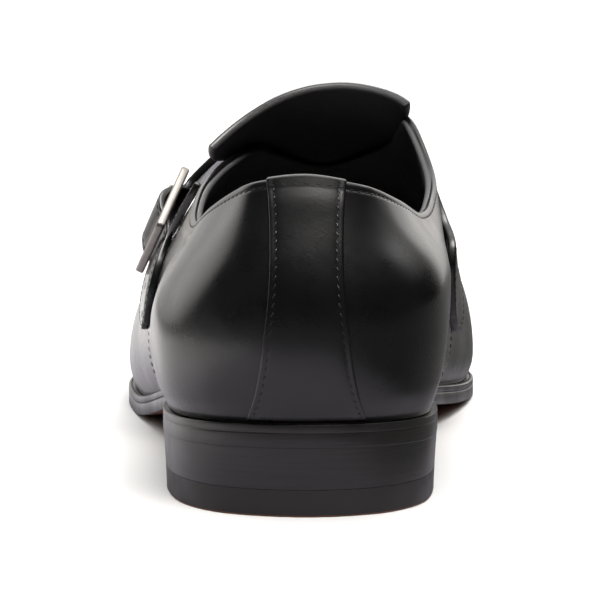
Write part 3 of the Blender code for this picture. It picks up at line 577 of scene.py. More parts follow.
def strip_base(part, at, v, offset):
    """Surface and normal under the strip: outside the quarters, over their top, or inside."""
    side = OUTER if offset <= 0 else INNER
    span = np.linalg.norm(wall(side, 1, [v]) - wall(side, 0, [v]))
    (point,), (normal,) = skin(side, abs(offset) / span, [v])
    if part == "outside":
        return point + normal * LAP * min(v / FOOT, 1), normal
    if part == "inside":
        return point - normal * UPPER_WALL, -normal
    middle, reach = (LAP - UPPER_WALL) / 2, (UPPER_WALL + LAP) / 2
    return (point + normal * (middle + reach * math.cos(at)),
            normal * math.cos(at) + np.array([0, 0, math.sin(at)]))


def skived(depth):
    """How high the strip's face stands over the quarters, thinner towards the top line."""
    full = GAP + OVERLAY_THICK
    return full - (full - FOLD_THICK) * dip(depth, 0.0045)


def strip_rows():
    """Part, place in it, height on the wall and leather thickness of each row."""
    def height(depth):
        return height_at(OUTER, 0.0, [depth])[0][0]

    depths = np.concatenate([[0.0010, 0.0013, 0.0016, 0.0021, 0.0030],
                             STRIP_LENGTH * np.linspace(0.005, 1, 40)])
    for depth in depths[::-1]:
        yield "outside", depth, height(depth), skived(depth)
    for angle in np.radians(np.arange(15, 180, 15)):
        yield "over", angle, height(RIM_DEPTH * (1 - math.sin(angle) ** 0.75)), FOLD_THICK
    for depth in (0.0012, 0.0030, 0.0050, 0.0066, FOLD_ENDS_AT, FOLD_ENDS_AT + 0.00005):
        yield "inside", depth, height(depth), FOLD_THICK


STRIP_LENGTH = height_at(OUTER, 0.0, [0.0])[1]
strip_top, strip_low = [], []
for part, at, v, thick in strip_rows():
    top_row, low_row = [], []
    half = strip_half_width(v)
    for offset in strip_places(half):
        base, normal = strip_base(part, at, v, offset)
        inset = half - abs(offset)
        end = 0.0 if (part == "inside" and at > FOLD_ENDS_AT) or v == 0 else 1.0
        lift = end * thick * rounded(inset, STRIP_EDGE)
        if part == "outside" and end:
            lift -= SEWN_IN * (dip(inset - STRIP_THREAD_AT, 0.00035) + dip(at - 0.0013, 0.0003))
        low_row.append(base - normal * UNDER)
        top_row.append(base + normal * (lift if lift > 0 and inset > 0 else -UNDER))
    strip_top.append(top_row)
    strip_low.append(low_row)


def shell(top_points, low_points, lined=False):
    """Two sheets that meet along their edges, closed there. The lower one may be a lining."""
    bm = bmesh.new()
    for layer, points in enumerate((top_points, low_points)):
        start = len(bm.faces)
        sheet(bm, np.array(points))
        bm.faces.ensure_lookup_table()
        for face in bm.faces[start:]:
            face.material_index = layer if lined else 0
    merge(bm)
    return bm


finish("back_strip_leather", shell(strip_top, strip_low), (BLACK_CALF,), "back_strip")

strip_thread = bmesh.new()
for sign in (-1, 1):
    line = []
    for v in np.linspace(0.03, 0.97, 60):
        offset = sign * (strip_half_width(v) - STRIP_THREAD_AT)
        base, normal = strip_base("outside", 0.0, v, offset)
        line.append((base + normal * (skived((1 - v) * STRIP_LENGTH) - SEWN_IN), normal))
    sew(strip_thread, *zip(*line), slant=0.45 * sign)
band = []       # across the strip, just under the top line
band_at = height_at(OUTER, 0.0, [0.0021])[0][0]
for offset in np.linspace(-0.0088, 0.0088, 24):
    base, normal = strip_base("outside", 0.0, band_at, offset)
    band.append((base + normal * (FOLD_THICK + 0.0001), normal))
sew(strip_thread, *zip(*band), pitch=0.0026, slant=0.0)
finish("back_strip_thread", strip_thread, (THREAD,))


# Toe cap. A second layer of calf over the vamp's toe, its rear edge folded and double sewn.

CAP_AT = (0.244, 0.234)     # station of its edge on the welt and on the ridge
CAP_GAP = 0.0006
CAP_LOW = 0.030             # its lower edge is tucked in just above the welt
CAP_EDGE = 0.0007
CAP_INSETS = np.concatenate([EDGE_STEPS * CAP_EDGE,
                             [0.0012, 0.0016, 0.0020, 0.0028, 0.0032, 0.0036]])
CAP_EASE = 40               # passes that draw the leather round over the ridge at the toe
CAP_EASE_Y = (0.192, 0.216)
CAP_EASE_Z = (0.013, 0.021)
CAP_EASE_HALF = 0.016


def cap_edge(side, heights):
    """Section of the cap's rear edge at each height."""
    places = np.linspace(10.0, ROWS, 141)
    ys = np.array([wall(side, p, heights)[:, 1] for p in places])
    edge = HEEL_BACK + CAP_AT[0] + (CAP_AT[1] - CAP_AT[0]) * ease(heights)
    return np.array([np.interp(y, ys[:, k], places) for k, y in enumerate(edge)])


def section_length(side, p, v):
    """How far it is along the wall from one section to the next, near a point."""
    return np.linalg.norm(wall(side, p + 0.1, [v]) - wall(side, p, [v])) / 0.1


def cap_points(heights, lift):
    """Columns of the cap from the outer rear edge round the toe to the inner one."""
    columns = []
    for side in (OUTER, INNER):
        edges = cap_edge(side, heights)
        lengths = np.array([section_length(side, p, v) for p, v in zip(edges, heights)])
        insets = [(edges + inset / lengths, inset) for inset in CAP_INSETS]
        last = edges + CAP_INSETS[-1] / lengths
        insets += [(last + (ROWS - last) * t, 0.1) for t in np.arange(1, 57) / 56]
        made = []
        for places, inset in insets:
            low = (heights - CAP_LOW) * 0.03
            rise = lift(inset, low)
            row = []
            for p, v, up in zip(places, heights, rise):
                (point,), (normal,) = skin(side, min(p, ROWS), [v])
                row.append(point + normal * up)
            made.append(row)
        columns += made if side == OUTER else made[-2::-1]
    return np.array(columns)


def cap_top(inset, low):
    """Height of the cap's face at a distance from its rear edge and from its lower edge."""
    rise = (CAP_GAP + OVERLAY_THICK) * rounded(np.minimum(inset, low), CAP_EDGE)
    for at in SEAM_ROWS:
        rise -= 0.00010 * dip(inset - at, 0.0003)
    return np.where(np.minimum(inset, low) > 0, rise, -UNDER)


cap_heights = np.concatenate([CAP_LOW + np.array([0, 0.0006, 0.002, 0.005, 0.012]),
                              np.linspace(CAP_LOW + 0.025, 1, 37)])
cap_mesh = shell(cap_points(cap_heights, cap_top),
                 cap_points(cap_heights, lambda inset, low: np.full(len(low), -UNDER)))
toe_x = top(OUTER, ROWS)[0]
eased = []
for vert in cap_mesh.verts:
    x, y, z = vert.co
    share = ease(y, *CAP_EASE_Y) * ease(z, *CAP_EASE_Z) * dip(x - toe_x, CAP_EASE_HALF)
    if share > 0.02:
        eased.append((vert, [edge.other_vert(vert) for edge in vert.link_edges], share / 2))
for _ in range(CAP_EASE):
    places = [vert.co.lerp(sum((other.co for other in others), Vector()) / len(others), share)
              for vert, others, share in eased]
    for (vert, _, _), place in zip(eased, places):
        vert.co = place
finish("toe_cap_leather", cap_mesh, (BLACK_CALF,), "toe_cap")

cap_thread = bmesh.new()
for side in (OUTER, INNER):
    heights = np.linspace(0.05, 1.0, 50)
    edges = cap_edge(side, heights)
    for at in SEAM_ROWS:
        row = [(p + at / section_length(side, p, v), v) for p, v in zip(edges, heights)]
        sew(cap_thread, *wall_line(side, row, CAP_GAP + OVERLAY_THICK - 0.0001))
finish("toe_cap_thread", cap_thread, (THREAD,))


# Tongue. The arched piece over the instep, of lined calf, cut square at its top and sewn round its
# edge. It lies over both quarters' top lines, and its low end is sewn down in front of the strap.

TONGUE_TOP_AT = 0.1075      # stations of its free top edge and of its low end
TONGUE_LOW_AT = 0.1530
TONGUE_HALF = {OUTER: (0.0338, 0.0155), INNER: (0.0272, 0.0150)}
TONGUE_DRAW = {OUTER: 1.6, INNER: 1.0}      # a higher power draws its side edge in later
TONGUE_LIFT = LAP + GAP
TONGUE_THICK = 0.0024
TONGUE_RISE = (0.0026, 0.0022, 0.0018, 0.0015, 0.00115, 0.0007, 0.0, -0.0004, -0.0002)
TONGUE_FREE = 0.4           # share of its length over which its free end has this own arch
TONGUE_SWEEP = 0.007        # the corners lie behind the middle of the top edge
TONGUE_SINK = 0.0013        # its low end is sewn down flat
TONGUE_PATTERN = (0.050, TONGUE_LOW_AT - TONGUE_TOP_AT)     # width and length it is cut from
TONGUE_EDGE = 0.0009
TONGUE_THREAD_AT = 0.0025
TONGUE_SEWN_IN = 0.00014
SECTION_STEPS = 96


def bridge(p, t):
    """The instep between the two top lines at section p: t = 0 outer, 1 inner."""
    outer, inner = rails(OUTER, p), rails(INNER, p)
    span = (inner[2][0] - outer[2][0]) / 3
    lean = [handle * span / max(abs(handle[0]), 1e-6) for handle in (outer[3], inner[3])]
    return bezier(outer[2], outer[2] + lean[0], inner[2] + lean[1], inner[2], t[:, None])


def instep_line(p, reaches):
    """Points of section p at distances from the ridge along the surface, inner side +."""
    steps = np.linspace(0, 1, SECTION_STEPS + 1)
    outer, inner = wall(OUTER, p, steps), wall(INNER, p, steps[::-1])
    if p >= THROAT_ROW:
        points, ridge = np.concatenate([outer, inner[1:]]), SECTION_STEPS
    else:
        points = np.concatenate([outer, bridge(p, steps[1:-1]), inner])
        ridge = SECTION_STEPS + SECTION_STEPS // 2
    lengths = np.linalg.norm(np.diff(points, axis=0), axis=1)
    along = np.concatenate([[0.0], np.cumsum(lengths)])
    along -= along[ridge]
    return np.array([np.interp(reaches, along, points[:, k]) for k in range(3)]).T


INSTEP_REACH = np.arange(-0.096, 0.0951, 0.001)
INSTEP = np.array([instep_line(p, INSTEP_REACH)
                   for p in np.arange(6.0, 11.01, 0.05)]).transpose(1, 0, 2)


def on_instep(station, d):
    """The instep at a station from the heel's back and a distance d from the ridge."""
    column = (d - INSTEP_REACH[0]) / (INSTEP_REACH[1] - INSTEP_REACH[0])
    low = min(max(int(column), 0), len(INSTEP) - 2)
    line = INSTEP[low] + (INSTEP[low + 1] - INSTEP[low]) * (column - low)
    y = HEEL_BACK + station
    return np.array([np.interp(y, line[:, 1], line[:, 0]), y, np.interp(y, line[:, 1], line[:, 2])])


def frame_at(station, d):
    """Unit vectors at a point of the instep: forward along it, towards the inner side, outward."""
    reach = 0.003
    forward = on_instep(station + reach, d) - on_instep(station - reach, d)
    inward = on_instep(station, d + reach) - on_instep(station, d - reach)
    outward = np.cross(inward, forward)
    outward /= np.linalg.norm(outward)
    forward /= np.linalg.norm(forward)
    return forward, np.cross(forward, outward), outward


def lifted(station, d, lift):
    return on_instep(station, d) + frame_at(station, d)[2] * lift


def tongue_at(across, t, lift):
    """A point of the tongue: across from -1, outer, to 1, and t from its top edge, 0, to 1."""
    side = OUTER if across < 0 else INNER
    top_half, low_half = TONGUE_HALF[side]
    station = TONGUE_TOP_AT - TONGUE_SWEEP * across**2 * (1 - t)
    station += (TONGUE_LOW_AT - TONGUE_TOP_AT) * t
    rise = np.interp(across, np.linspace(-1, 1, len(TONGUE_RISE)), TONGUE_RISE)
    rise *= max(0.0, 1 - t / TONGUE_FREE)
    sink = TONGUE_SINK * min(max((t - 0.75) / 0.2, 0.0), 1.0)
    half = top_half + (low_half - top_half) * max(t, 0.0) ** TONGUE_DRAW[side]
    return lifted(station, across * half, TONGUE_LIFT + rise - sink + lift)


def edge_places(length, radius, middle):
    """Distances along a panel from one edge to the other, closer together at both."""
    insets = np.concatenate([EDGE_STEPS * radius,
                             radius + np.array([0.0004, 0.0009, 0.0014, 0.0019])])
    inner_part = np.linspace(insets[-1], length - insets[-1], middle + 2)[1:-1]
    return np.concatenate([insets, inner_part, length - insets[::-1]])


def tongue_points(up):
    """Rows of points of its face, up = 1, or of its lining, -1."""
    width, length = TONGUE_PATTERN
    half = TONGUE_THICK / 2
    rows = []
    for s in edge_places(length, TONGUE_EDGE, 14):
        row = []
        for w in edge_places(width, TONGUE_EDGE, 26):
            inset = min(w, width - w, s, length - s)
            line = TONGUE_SEWN_IN * dip(inset - TONGUE_THREAD_AT, 0.0003) if up > 0 else 0
            lift = half + up * half * rounded(inset, TONGUE_EDGE) - line
            row.append(tongue_at(2 * w / width - 1, s / length, lift))
        rows.append(row)
    return rows


finish("tongue_leather", shell(tongue_points(1), tongue_points(-1), lined=True),
       (BLACK_CALF, TONGUE_LINING), "tongue")

tongue_thread = bmesh.new()
beside, behind = (TONGUE_THREAD_AT / size for size in TONGUE_PATTERN)
beside = 1 - 2 * beside
path = [(-beside, t) for t in np.linspace(0.95, behind, 20)]
path += [(across, behind) for across in np.linspace(-beside, beside, 40)[1:]]
path += [(beside, t) for t in np.linspace(behind, 0.95, 20)[1:]]
points = [tongue_at(*place, TONGUE_THICK - TONGUE_SEWN_IN) for place in path]
normals = [tongue_at(*place, TONGUE_THICK) - tongue_at(*place, 0.0) for place in path]
sew(tongue_thread, points, [normal / np.linalg.norm(normal) for normal in normals])
finish("tongue_thread", tongue_thread, (THREAD,))


# Strap. Two layers of calf with painted edges, sewn together round their edge. It comes up from
# the inner side over the tongue, then under the buckle's upper bar, over its middle bar and under
# its lower one.

STRAP_THICK = 0.0022
STRAP_EDGE = 0.0005
STRAP_THREAD_AT = 0.0018
STRAP_DROOP = 0.00033       # its rear edge presses on the quarter below the buckle
STRAP_INSETS = np.concatenate([EDGE_STEPS * STRAP_EDGE,
                               [0.0010, 0.0015, STRAP_THREAD_AT, 0.0021, 0.0027]])
SLIM = 0.0035               # half width under which the edges' rows are drawn together
MIDDLE = 1.0                # an inset this large is the middle line
HOLE_RADIUS = 0.0012        # round the prong
SPARE_HOLES = ((0.845, 0.0010), (0.915, 0.0010))    # place along the strap, and radius
# Rows along its middle line, in millimetres: station, distance from the ridge, half width,
# clearance over the instep and how much higher its rear edge stands.
STRAP_PATH = (
    (118.4, 81.2, 0.9, 1.2, 0.0),
    (118.8, 80.4, 4.6, 1.2, 0.0),
    (119.9, 78.5, 8.4, 1.3, 0.0),
    (122.1, 75.0, 11.5, 1.7, 0.0),
    (125.2, 70.2, 12.9, 2.2, 0.0),
    (128.4, 64.2, 12.6, 2.1, 0.0),
    (131.3, 56.0, 11.3, 1.5, 0.0),
    (133.3, 46.0, 10.4, 1.3, 0.0),
    (134.7, 36.5, 10.2, 1.9, 0.0),
    (135.8, 26.0, 10.2, 4.1, 0.0),
    (136.8, 10.0, 10.2, 4.2, 0.0),
    (136.8, -8.0, 10.0, 4.2, 0.0),
    (135.8, -22.0, 9.7, 4.1, 0.0),
    (134.0, -34.0, 9.2, 3.5, 0.4),
    (131.9, -43.0, 8.7, 3.0, 1.1),
    (129.8, -47.6, 8.9, 2.9, 1.2),
    (127.2, -51.0, 9.2, 5.6, 1.1),
    (124.6, -54.2, 9.3, 6.9, 0.9),
    (121.9, -57.5, 9.3, 5.1, 0.5),
    (119.2, -60.8, 9.3, 1.6, 0.1),
    (116.6, -65.5, 9.6, 1.25, 0.0),
    (113.5, -71.5, 9.4, 1.25, 0.0),
    (110.5, -77.0, 7.8, 1.25, 0.0),
    (108.3, -81.0, 5.2, 1.25, 0.0),
    (107.2, -83.2, 2.8, 1.25, 0.0),
    (106.7, -84.2, 0.9, 1.25, 0.0),
)
PATH = np.array(STRAP_PATH) * 0.001


def strap_row(t):
    """The strap's row at a place from its inner end, 0, to its tip, 1."""
    return catmull(PATH, min(max(t, 0.0), 1.0) * (len(PATH) - 1), closed=False)


def strap_point(t, inset, edge, lift):
    """A point at a distance inside the rear edge, -1, or the front edge, 1."""
    station, d, half, clearance, tilt = strap_row(t)
    ahead = strap_row(t + 0.004) - strap_row(t - 0.004)
    across = edge * max(1 - inset / half, 0.0)
    side = np.array([-ahead[1], ahead[0]]) / np.hypot(ahead[0], ahead[1])
    station, d = (station, d) + side * half * across
    low = np.interp(t, (0.70, 0.76), (0.0, 1.0)) if edge < 0 else 0.0
    droop = STRAP_DROOP * low * dip(inset, 0.003)
    return lifted(station, d, clearance - tilt * across - droop + lift)


def strap_points(up):
    """Rows of points of its face, up = 1, or of its back, -1."""
    ends = np.array([0.0, 0.0004, 0.0015, 0.004, 0.009])
    middle = STRAP_THICK / 2
    rows = []
    for t in np.concatenate([ends, np.linspace(0.016, 0.984, 170), 1 - ends[::-1]]):
        half, insets = strap_row(t)[2], STRAP_INSETS
        if half <= SLIM:
            insets = np.minimum(insets, half * np.linspace(0, 1, len(insets)))
        insets = np.concatenate([insets, insets[-1] + (half - insets[-1]) * np.array([1, 2]) / 3])
        end = math.sqrt(max(1 - (1 - min(t / 0.009, (1 - t) / 0.022, 1)) ** 2, 0))
        places = [(inset, -1) for inset in insets] + [(half, 1)]
        places += [(inset, 1) for inset in insets[::-1]]
        row = []
        for inset, edge in places:
            line = SEWN_IN * dip(inset - STRAP_THREAD_AT, 0.0003) if up > 0 else 0
            lift = middle + up * (middle * min(rounded(inset, STRAP_EDGE), end)) - line * end
            row.append(strap_point(t, inset, edge, lift))
        rows.append(row)
    return rows


strap = finish("strap_leather", shell(strap_points(1), strap_points(-1)), (BLACK_CALF,),
               "strap")

# The buckle's place on the instep, and its directions as parts of forward, inward and outward.
BUCKLE_AT = (0.1246, -0.0542)
BUCKLE_LIFT = 0.0050
BUCKLE_FALL = (-0.597, -0.797, -0.088)      # along the strap, towards its tip
BUCKLE_FRONT = (0.775, -0.620, -0.080)      # along the bars
# Rows of the prong's middle line in the buckle's plane: along the strap, above, thickness.
PRONG_PATH = (
    (0.00115, -0.00050, 0.00045),
    (0.00081, 0.00031, 0.00045),
    (0.00000, 0.00065, 0.00048),
    (-0.00150, 0.00080, 0.00080),
    (-0.00500, 0.00150, 0.00110),
    (-0.00850, 0.00228, 0.00105),
    (-0.01045, 0.00232, 0.00095),
    (-0.01230, 0.00212, 0.00070),
)

basis = np.array(frame_at(*BUCKLE_AT)).T
fall = basis @ BUCKLE_FALL
fall /= np.linalg.norm(fall)
front = basis @ BUCKLE_FRONT
front -= fall * (front @ fall)
front /= np.linalg.norm(front)
BUCKLE_AXES = np.array((front, fall, np.cross(front, fall))).T
BUCKLE_MIDDLE = lifted(*BUCKLE_AT, BUCKLE_LIFT)


def in_buckle(w, s, h):
    """A point of the buckle's own frame: along the bars, along the strap, above its plane."""
    return BUCKLE_MIDDLE + BUCKLE_AXES @ (w, s, h)


def cut(target, centre, axis, radius, length=0.02):
    """Cuts a round hole and keeps the result in the mesh."""
    bm = bmesh.new()
    turn = Vector(axis).to_track_quat("Z", "Y").to_matrix().to_4x4()
    bmesh.ops.create_cone(bm, cap_ends=True, segments=28, radius1=radius, radius2=radius,
                          depth=length, matrix=Matrix.Translation(centre) @ turn)
    cutter = add_mesh("cutter", bm)
    modifier = target.modifiers.new("hole", "BOOLEAN")
    modifier.object, modifier.solver = cutter, "EXACT"
    made = bpy.data.meshes.new_from_object(
        target.evaluated_get(bpy.context.evaluated_depsgraph_get()))
    target.modifiers.clear()
    target.data = made
    made.name = target.name
    bpy.data.objects.remove(cutter)


(s0, h0, _), (s1, h1, _) = PRONG_PATH[3:5]
slope = BUCKLE_AXES @ (0.0, s1 - s0, h1 - h0)
cut(strap, in_buckle(0.0, s0 + (s1 - s0) * 0.55, h0 + (h1 - h0) * 0.55), slope, HOLE_RADIUS, 0.007)
for t, radius in SPARE_HOLES:
    low, high = (strap_point(t, MIDDLE, 1, lift) for lift in (-0.0002, STRAP_THICK + 0.0002))
    cut(strap, (low + high) / 2, high - low, radius, float(np.linalg.norm(high - low)))

strap_thread = bmesh.new()
for edge in (-1, 1):
    line = []
    for t in np.linspace(0.04, 0.965, 220):
        inset = min(STRAP_THREAD_AT, 0.9 * strap_row(t)[2])
        low, high = (strap_point(t, inset, edge, lift) for lift in (0.0, STRAP_THICK - SEWN_IN))
        line.append((high, (high - low) / np.linalg.norm(high - low)))
    sew(strap_thread, *zip(*line), slant=0.3 * edge)
finish("strap_thread", strap_thread, (THREAD,))


# Buckle. A die cast frame of flattened rail with a round middle bar, plated in nickel and
# brushed. The prong is bent from wire, hooked over the middle bar, and rests on the upper bar.

BUCKLE_HALF = (0.0126, 0.0117)      # half its size along the bars and along the strap
FRAME_CORNER = 0.0007
RAIL_WIDTH = 0.0026
RAIL_THICK = 0.0024
RAIL_RISE = 0.0004                  # of the rail's middle over the bar's ends
BAR_RADIUS = 0.00065
BAR_SINK = 0.0005
PRONG_WIDTH = 0.0017
SIDES = 20                          # points round each rail, bar and prong


def brushed_nickel():
    made, tree, shader = material("brushed nickel", (0.26, 0.245, 0.228), 0.38, metallic=1.0)
    place = node(tree, "TexCoord").outputs["Object"]
    lines = node(tree, "Mapping", {"Vector": place, "Rotation": (0.3, 0.9, 0.2),
                                   "Scale": (1.0, 14.0, 14.0)}).outputs["Vector"]
    brush = noise(tree, lines, 260.0, 4.0)
    tone = blend(tree, noise(tree, place, 320.0, 3.0), (0.20, 0.187, 0.172), (0.32, 0.302, 0.28))
    surface(tree, shader, tone, spread(tree, brush, 0.30, 0.46), brush, 0.10, 0.0002)
    return made


NICKEL = brushed_nickel()


def tube(bm, rings, closed):
    """A skin over rings of points, joined ring to ring by bridging."""
    edges = []
    for ring in rings:
        verts = [bm.verts.new(point) for point in ring]
        edges.append([bm.edges.new((verts[k], verts[(k + 1) % len(verts)]))
                      for k in range(len(verts))])
    for k in range(len(edges) if closed else len(edges) - 1):
        bmesh.ops.bridge_loops(bm, edges=edges[k] + edges[(k + 1) % len(edges)])
    if not closed:
        for ring in (edges[0], edges[-1]):
            bmesh.ops.holes_fill(bm, edges=ring, sides=0)


def superellipse(angle, power=2.6):
    """Round-cornered section: half width and half height at an angle."""
    c, s = math.cos(angle), math.sin(angle)
    return (math.copysign(abs(c) ** (2 / power), c), math.copysign(abs(s) ** (2 / power), s))


frame_path = []
straight = np.array(BUCKLE_HALF) - RAIL_WIDTH / 2 - FRAME_CORNER
for quarter, signs in enumerate(((1, 1), (-1, 1), (-1, -1), (1, -1))):
    for turn in math.pi / 2 * (quarter + np.arange(9) / 8):
        out = np.array([math.cos(turn), math.sin(turn)])
        frame_path.append((signs * straight + out * FRAME_CORNER, out))
rings = []
for middle, out in frame_path:
    ring = []
    for k in range(SIDES):
        across, high = superellipse(2 * math.pi * (k + 0.5) / SIDES, 4.5)
        w, s = middle + out * RAIL_WIDTH / 2 * across
        ring.append(in_buckle(w, s, RAIL_RISE + RAIL_THICK / 2 * high))
    rings.append(ring)
buckle_mesh = bmesh.new()
tube(buckle_mesh, rings, closed=True)
reach = BUCKLE_HALF[0] - RAIL_WIDTH / 2
rings = []
for w in np.concatenate([np.linspace(-reach, -reach + 0.0026, 7), np.linspace(-0.007, 0.007, 9),
                         np.linspace(reach - 0.0026, reach, 7)]):
    h = BAR_SINK * (ease(abs(w), reach - 0.0024, reach - 0.0002) - 1)
    rings.append([in_buckle(w, BAR_RADIUS * math.cos(a), h + BAR_RADIUS * math.sin(a))
                  for a in np.linspace(0, 2 * math.pi, SIDES, endpoint=False)])
tube(buckle_mesh, rings, closed=False)
finish("buckle", buckle_mesh, (NICKEL,), "buckle_frame", sharp=60)

prong_mesh = bmesh.new()
path, last = np.array(PRONG_PATH), len(PRONG_PATH) - 1
rings = []
for p in np.linspace(0, last, 40):
    s, h, thick = catmull(path, p, closed=False)
    ahead = (catmull(path, min(p + 0.05, last), closed=False)
             - catmull(path, max(p - 0.05, 0), closed=False))
    length = math.hypot(ahead[0], ahead[1])
    end = math.sqrt(max(1 - max(abs(p / last * 2 - 1) - 0.93, 0) ** 2 / 0.0052, 0.08))
    ring = []
    for k in range(SIDES):
        across, high = superellipse(2 * math.pi * k / SIDES, 2.4)
        lift = thick / 2 * high * end
        ring.append(in_buckle(PRONG_WIDTH / 2 * across * end, s - ahead[1] / length * lift,
                              h + ahead[0] / length * lift))
    rings.append(ring)
tube(prong_mesh, rings, closed=False)
finish("prong", prong_mesh, (NICKEL,), "buckle_prong", sharp=60)


# Buckle tab. A small patch of calf sewn on the outer quarter, narrow where it holds the buckle's
# middle bar and round at its low end.

TAB_FROM = (0.1228, -0.0490)
TAB_TO = (0.0965, -0.0535)
TAB_HALF = (0.0026, 0.0070)
TAB_NECK = (0.50, 0.72)     # shares of its length between which it widens
TAB_PATTERN = (0.004, 0.026)        # half width and length that its edges are rounded over
TAB_EDGE = 0.0005
TAB_THICK = 0.0020
TAB_THREAD = (0.74, 0.86)   # how far across the row runs, and where it starts to turn


def tab_point(t, across, lift):
    """A point of the tab: t from the bar, 0, to its low end, 1, and across from -1 to 1."""
    along = np.array(TAB_TO) - TAB_FROM
    length = np.linalg.norm(along)
    side = np.array([-along[1], along[0]]) / length
    half = np.interp(t, TAB_NECK, TAB_HALF)
    left = max(length * (1 - t), 0.0)
    if left < half:
        half = math.sqrt(max(half**2 - (half - left) ** 2, 1e-8))
    station, d = TAB_FROM + along * t + side * half * across
    return lifted(station, d, LAP + GAP + lift)


def tab_points(up):
    rows = []
    for t in np.sin(np.linspace(0, math.pi / 2, 34)):
        row = []
        for across in np.sin(np.linspace(-math.pi / 2, math.pi / 2, 17)):
            inset = min(TAB_PATTERN[0] * (1 - abs(across)), TAB_PATTERN[1] * t,
                        TAB_PATTERN[1] * (1 - t) + 0.00001 * (t < 1))
            half = TAB_THICK / 2
            row.append(tab_point(t, across, half + up * half * rounded(inset, TAB_EDGE)))
        rows.append(row)
    return rows


finish("buckle_tab_leather", shell(tab_points(1), tab_points(-1)), (BLACK_CALF,),
       "buckle_tab")

tab_thread = bmesh.new()
wide, turn = TAB_THREAD
path = [(t, -wide) for t in np.linspace(0.1, turn, 14)]
path += [(turn + 0.085 * math.cos(a), wide * math.sin(a)) for a in np.linspace(-1.4, 1.4, 12)]
path += [(t, wide) for t in np.linspace(turn, 0.1, 14)]
sew(tab_thread, [tab_point(*place, TAB_THICK) for place in path],
    [frame_at(*TAB_FROM)[2]] * len(path), pitch=0.0019)
finish("buckle_tab_thread", tab_thread, (THREAD,))


# Sole. A bend leather outsole, brown underneath and stained black round its edge, and a leather
# welt above it, sewn through with a lock stitch along the forepart.

DRAWN_IN = (0.03, 0.12, 0.3, 0.55, 0.8, 1)      # shares at which rings fill a flat face


def outline(side, p, margin):
    """Point of the feather line moved outward in plan by a margin."""
    ahead, behind = around(FEATHER_LOOP, side, p + 0.05), around(FEATHER_LOOP, side, p - 0.05)
    along = (ahead - behind)[:2]
    out = side * np.array([along[1], -along[0]]) / np.linalg.norm(along)
    return around(FEATHER_LOOP, side, p)[:2] + out * margin


def sole_margin(p):
    return np.interp(p, (0, 6, 10, ROWS), (0.0013, 0.0015, 0.0021, 0.0026))


SOLE_PLACES = [(OUTER, p) for p in np.linspace(0, ROWS, 137)]
SOLE_PLACES += [(INNER, p) for p in np.linspace(ROWS, 0, 137)[1:]]


def sole_ring(margin, share, height, inset=0.0):
    """Points round the sole: its edge rounded by an inset, then drawn in by a share."""
    ring = []
    for side, p in SOLE_PLACES:
        crisp = np.interp(p, (4.5, 6.5), (0.2, 1.0))        # trimmed sharp round the heel
        x, y = outline(side, p, sole_margin(p) + margin - inset * crisp)
        middle = min(max(y, HEEL_BACK + 0.030), HEEL_BACK + LAST_LENGTH - 0.038)
        centre = np.interp(middle, (-0.01, 0.08, 0.15, 0.23), (0.0, 0.001, 0.001, 0.006))
        x, y = x + (centre - x) * share, y + (middle - y) * share
        ring.append((x, y, height(x, y)))
    return ring


def block(rows):
    """A closed block from rings of points."""
    bm = bmesh.new()
    sheet(bm, np.array(rows))
    merge(bm)
    return bm


def sole_layer(bottom, thick, extra, edge):
    """A layer of the sole: its underside, its edge in steps of inset and height, its top."""
    rows = [sole_ring(extra, share, bottom, edge[0][0]) for share in DRAWN_IN[::-1]]
    rows += [sole_ring(extra, 0.0, lambda x, y, up=up: bottom(x, y) + thick * up, inset)
             for inset, up in edge]
    rows += [sole_ring(extra, share, lambda x, y: bottom(x, y) + thick, edge[-1][0])
             for share in DRAWN_IN]
    return block(rows)


def stained_edge(name, colour, rough):
    """Sanded and waxed sole edge, with faint lines along it from the layers of the leather."""
    made, tree, shader = material(name, colour, rough, coat=0.15, coat_roughness=0.2)
    place = node(tree, "TexCoord").outputs["Object"]
    layers = node(tree, "Mapping", {"Vector": place, "Scale": (0.05, 0.05, 1.0)}).outputs["Vector"]
    lines = noise(tree, layers, 1400.0, 3.0)
    tone = blend(tree, lines, *([value * share for value in colour] for share in (0.6, 1.7)))
    gloss = spread(tree, noise(tree, place, 90.0, 4.0), rough * 0.85, rough * 1.25)
    surface(tree, shader, tone, gloss, lines, 0.15, 0.0003)
    return made


SOLE_EDGE = stained_edge("stained sole edge", (0.0125, 0.0118, 0.0112), 0.34)
SOLE_BROWN = leather("sole leather", (0.17, 0.072, 0.034), 0.42, 0.58, 0.22, scale=0.6)

outsole_mesh = sole_layer(sole_bottom, OUTSOLE_THICK + GAP, 0.0, (
    (0.0005, 0.0), (0.0002, 0.03), (0.0, 0.10), (0.0, 0.5), (0.0, 0.90), (0.00015, 0.96),
    (0.0004, 1.0)))
for face in outsole_mesh.faces:
    centre = face.calc_center_median()
    face.material_index = 1 if centre.z - sole_bottom(centre.x, centre.y) < 0.00005 else 0
finish("outsole_leather", outsole_mesh, (SOLE_EDGE, SOLE_BROWN), "outsole")
welt_mesh = sole_layer(welt_bottom, WELT_THICK, 0.0, (
    (0.0003, 0.0), (0.0001, 0.05), (0.0, 0.12), (0.0, 0.5), (0.0, 0.82), (0.0002, 0.95),
    (0.0005, 1.0)))
finish("welt_leather", welt_mesh, (SOLE_EDGE,), "welt")

welt_thread = bmesh.new()
for side in (OUTER, INNER):
    line = []
    for p in np.linspace(5.2, ROWS, 200):
        x, y = outline(side, p, sole_margin(p) - 0.0009)
        line.append(((x, y, welt_top(x, y)), (0, 0, 1)))
    sew(welt_thread, *zip(*line), pitch=0.0031, size=(0.0010, 0.00030, 0.00022), slant=0.1)
finish("welt_thread", welt_thread, (THREAD,))


# Heel. A stack of leather lifts, stained and polished black, on a rubber top lift with a brown
# leather line at its rest face.

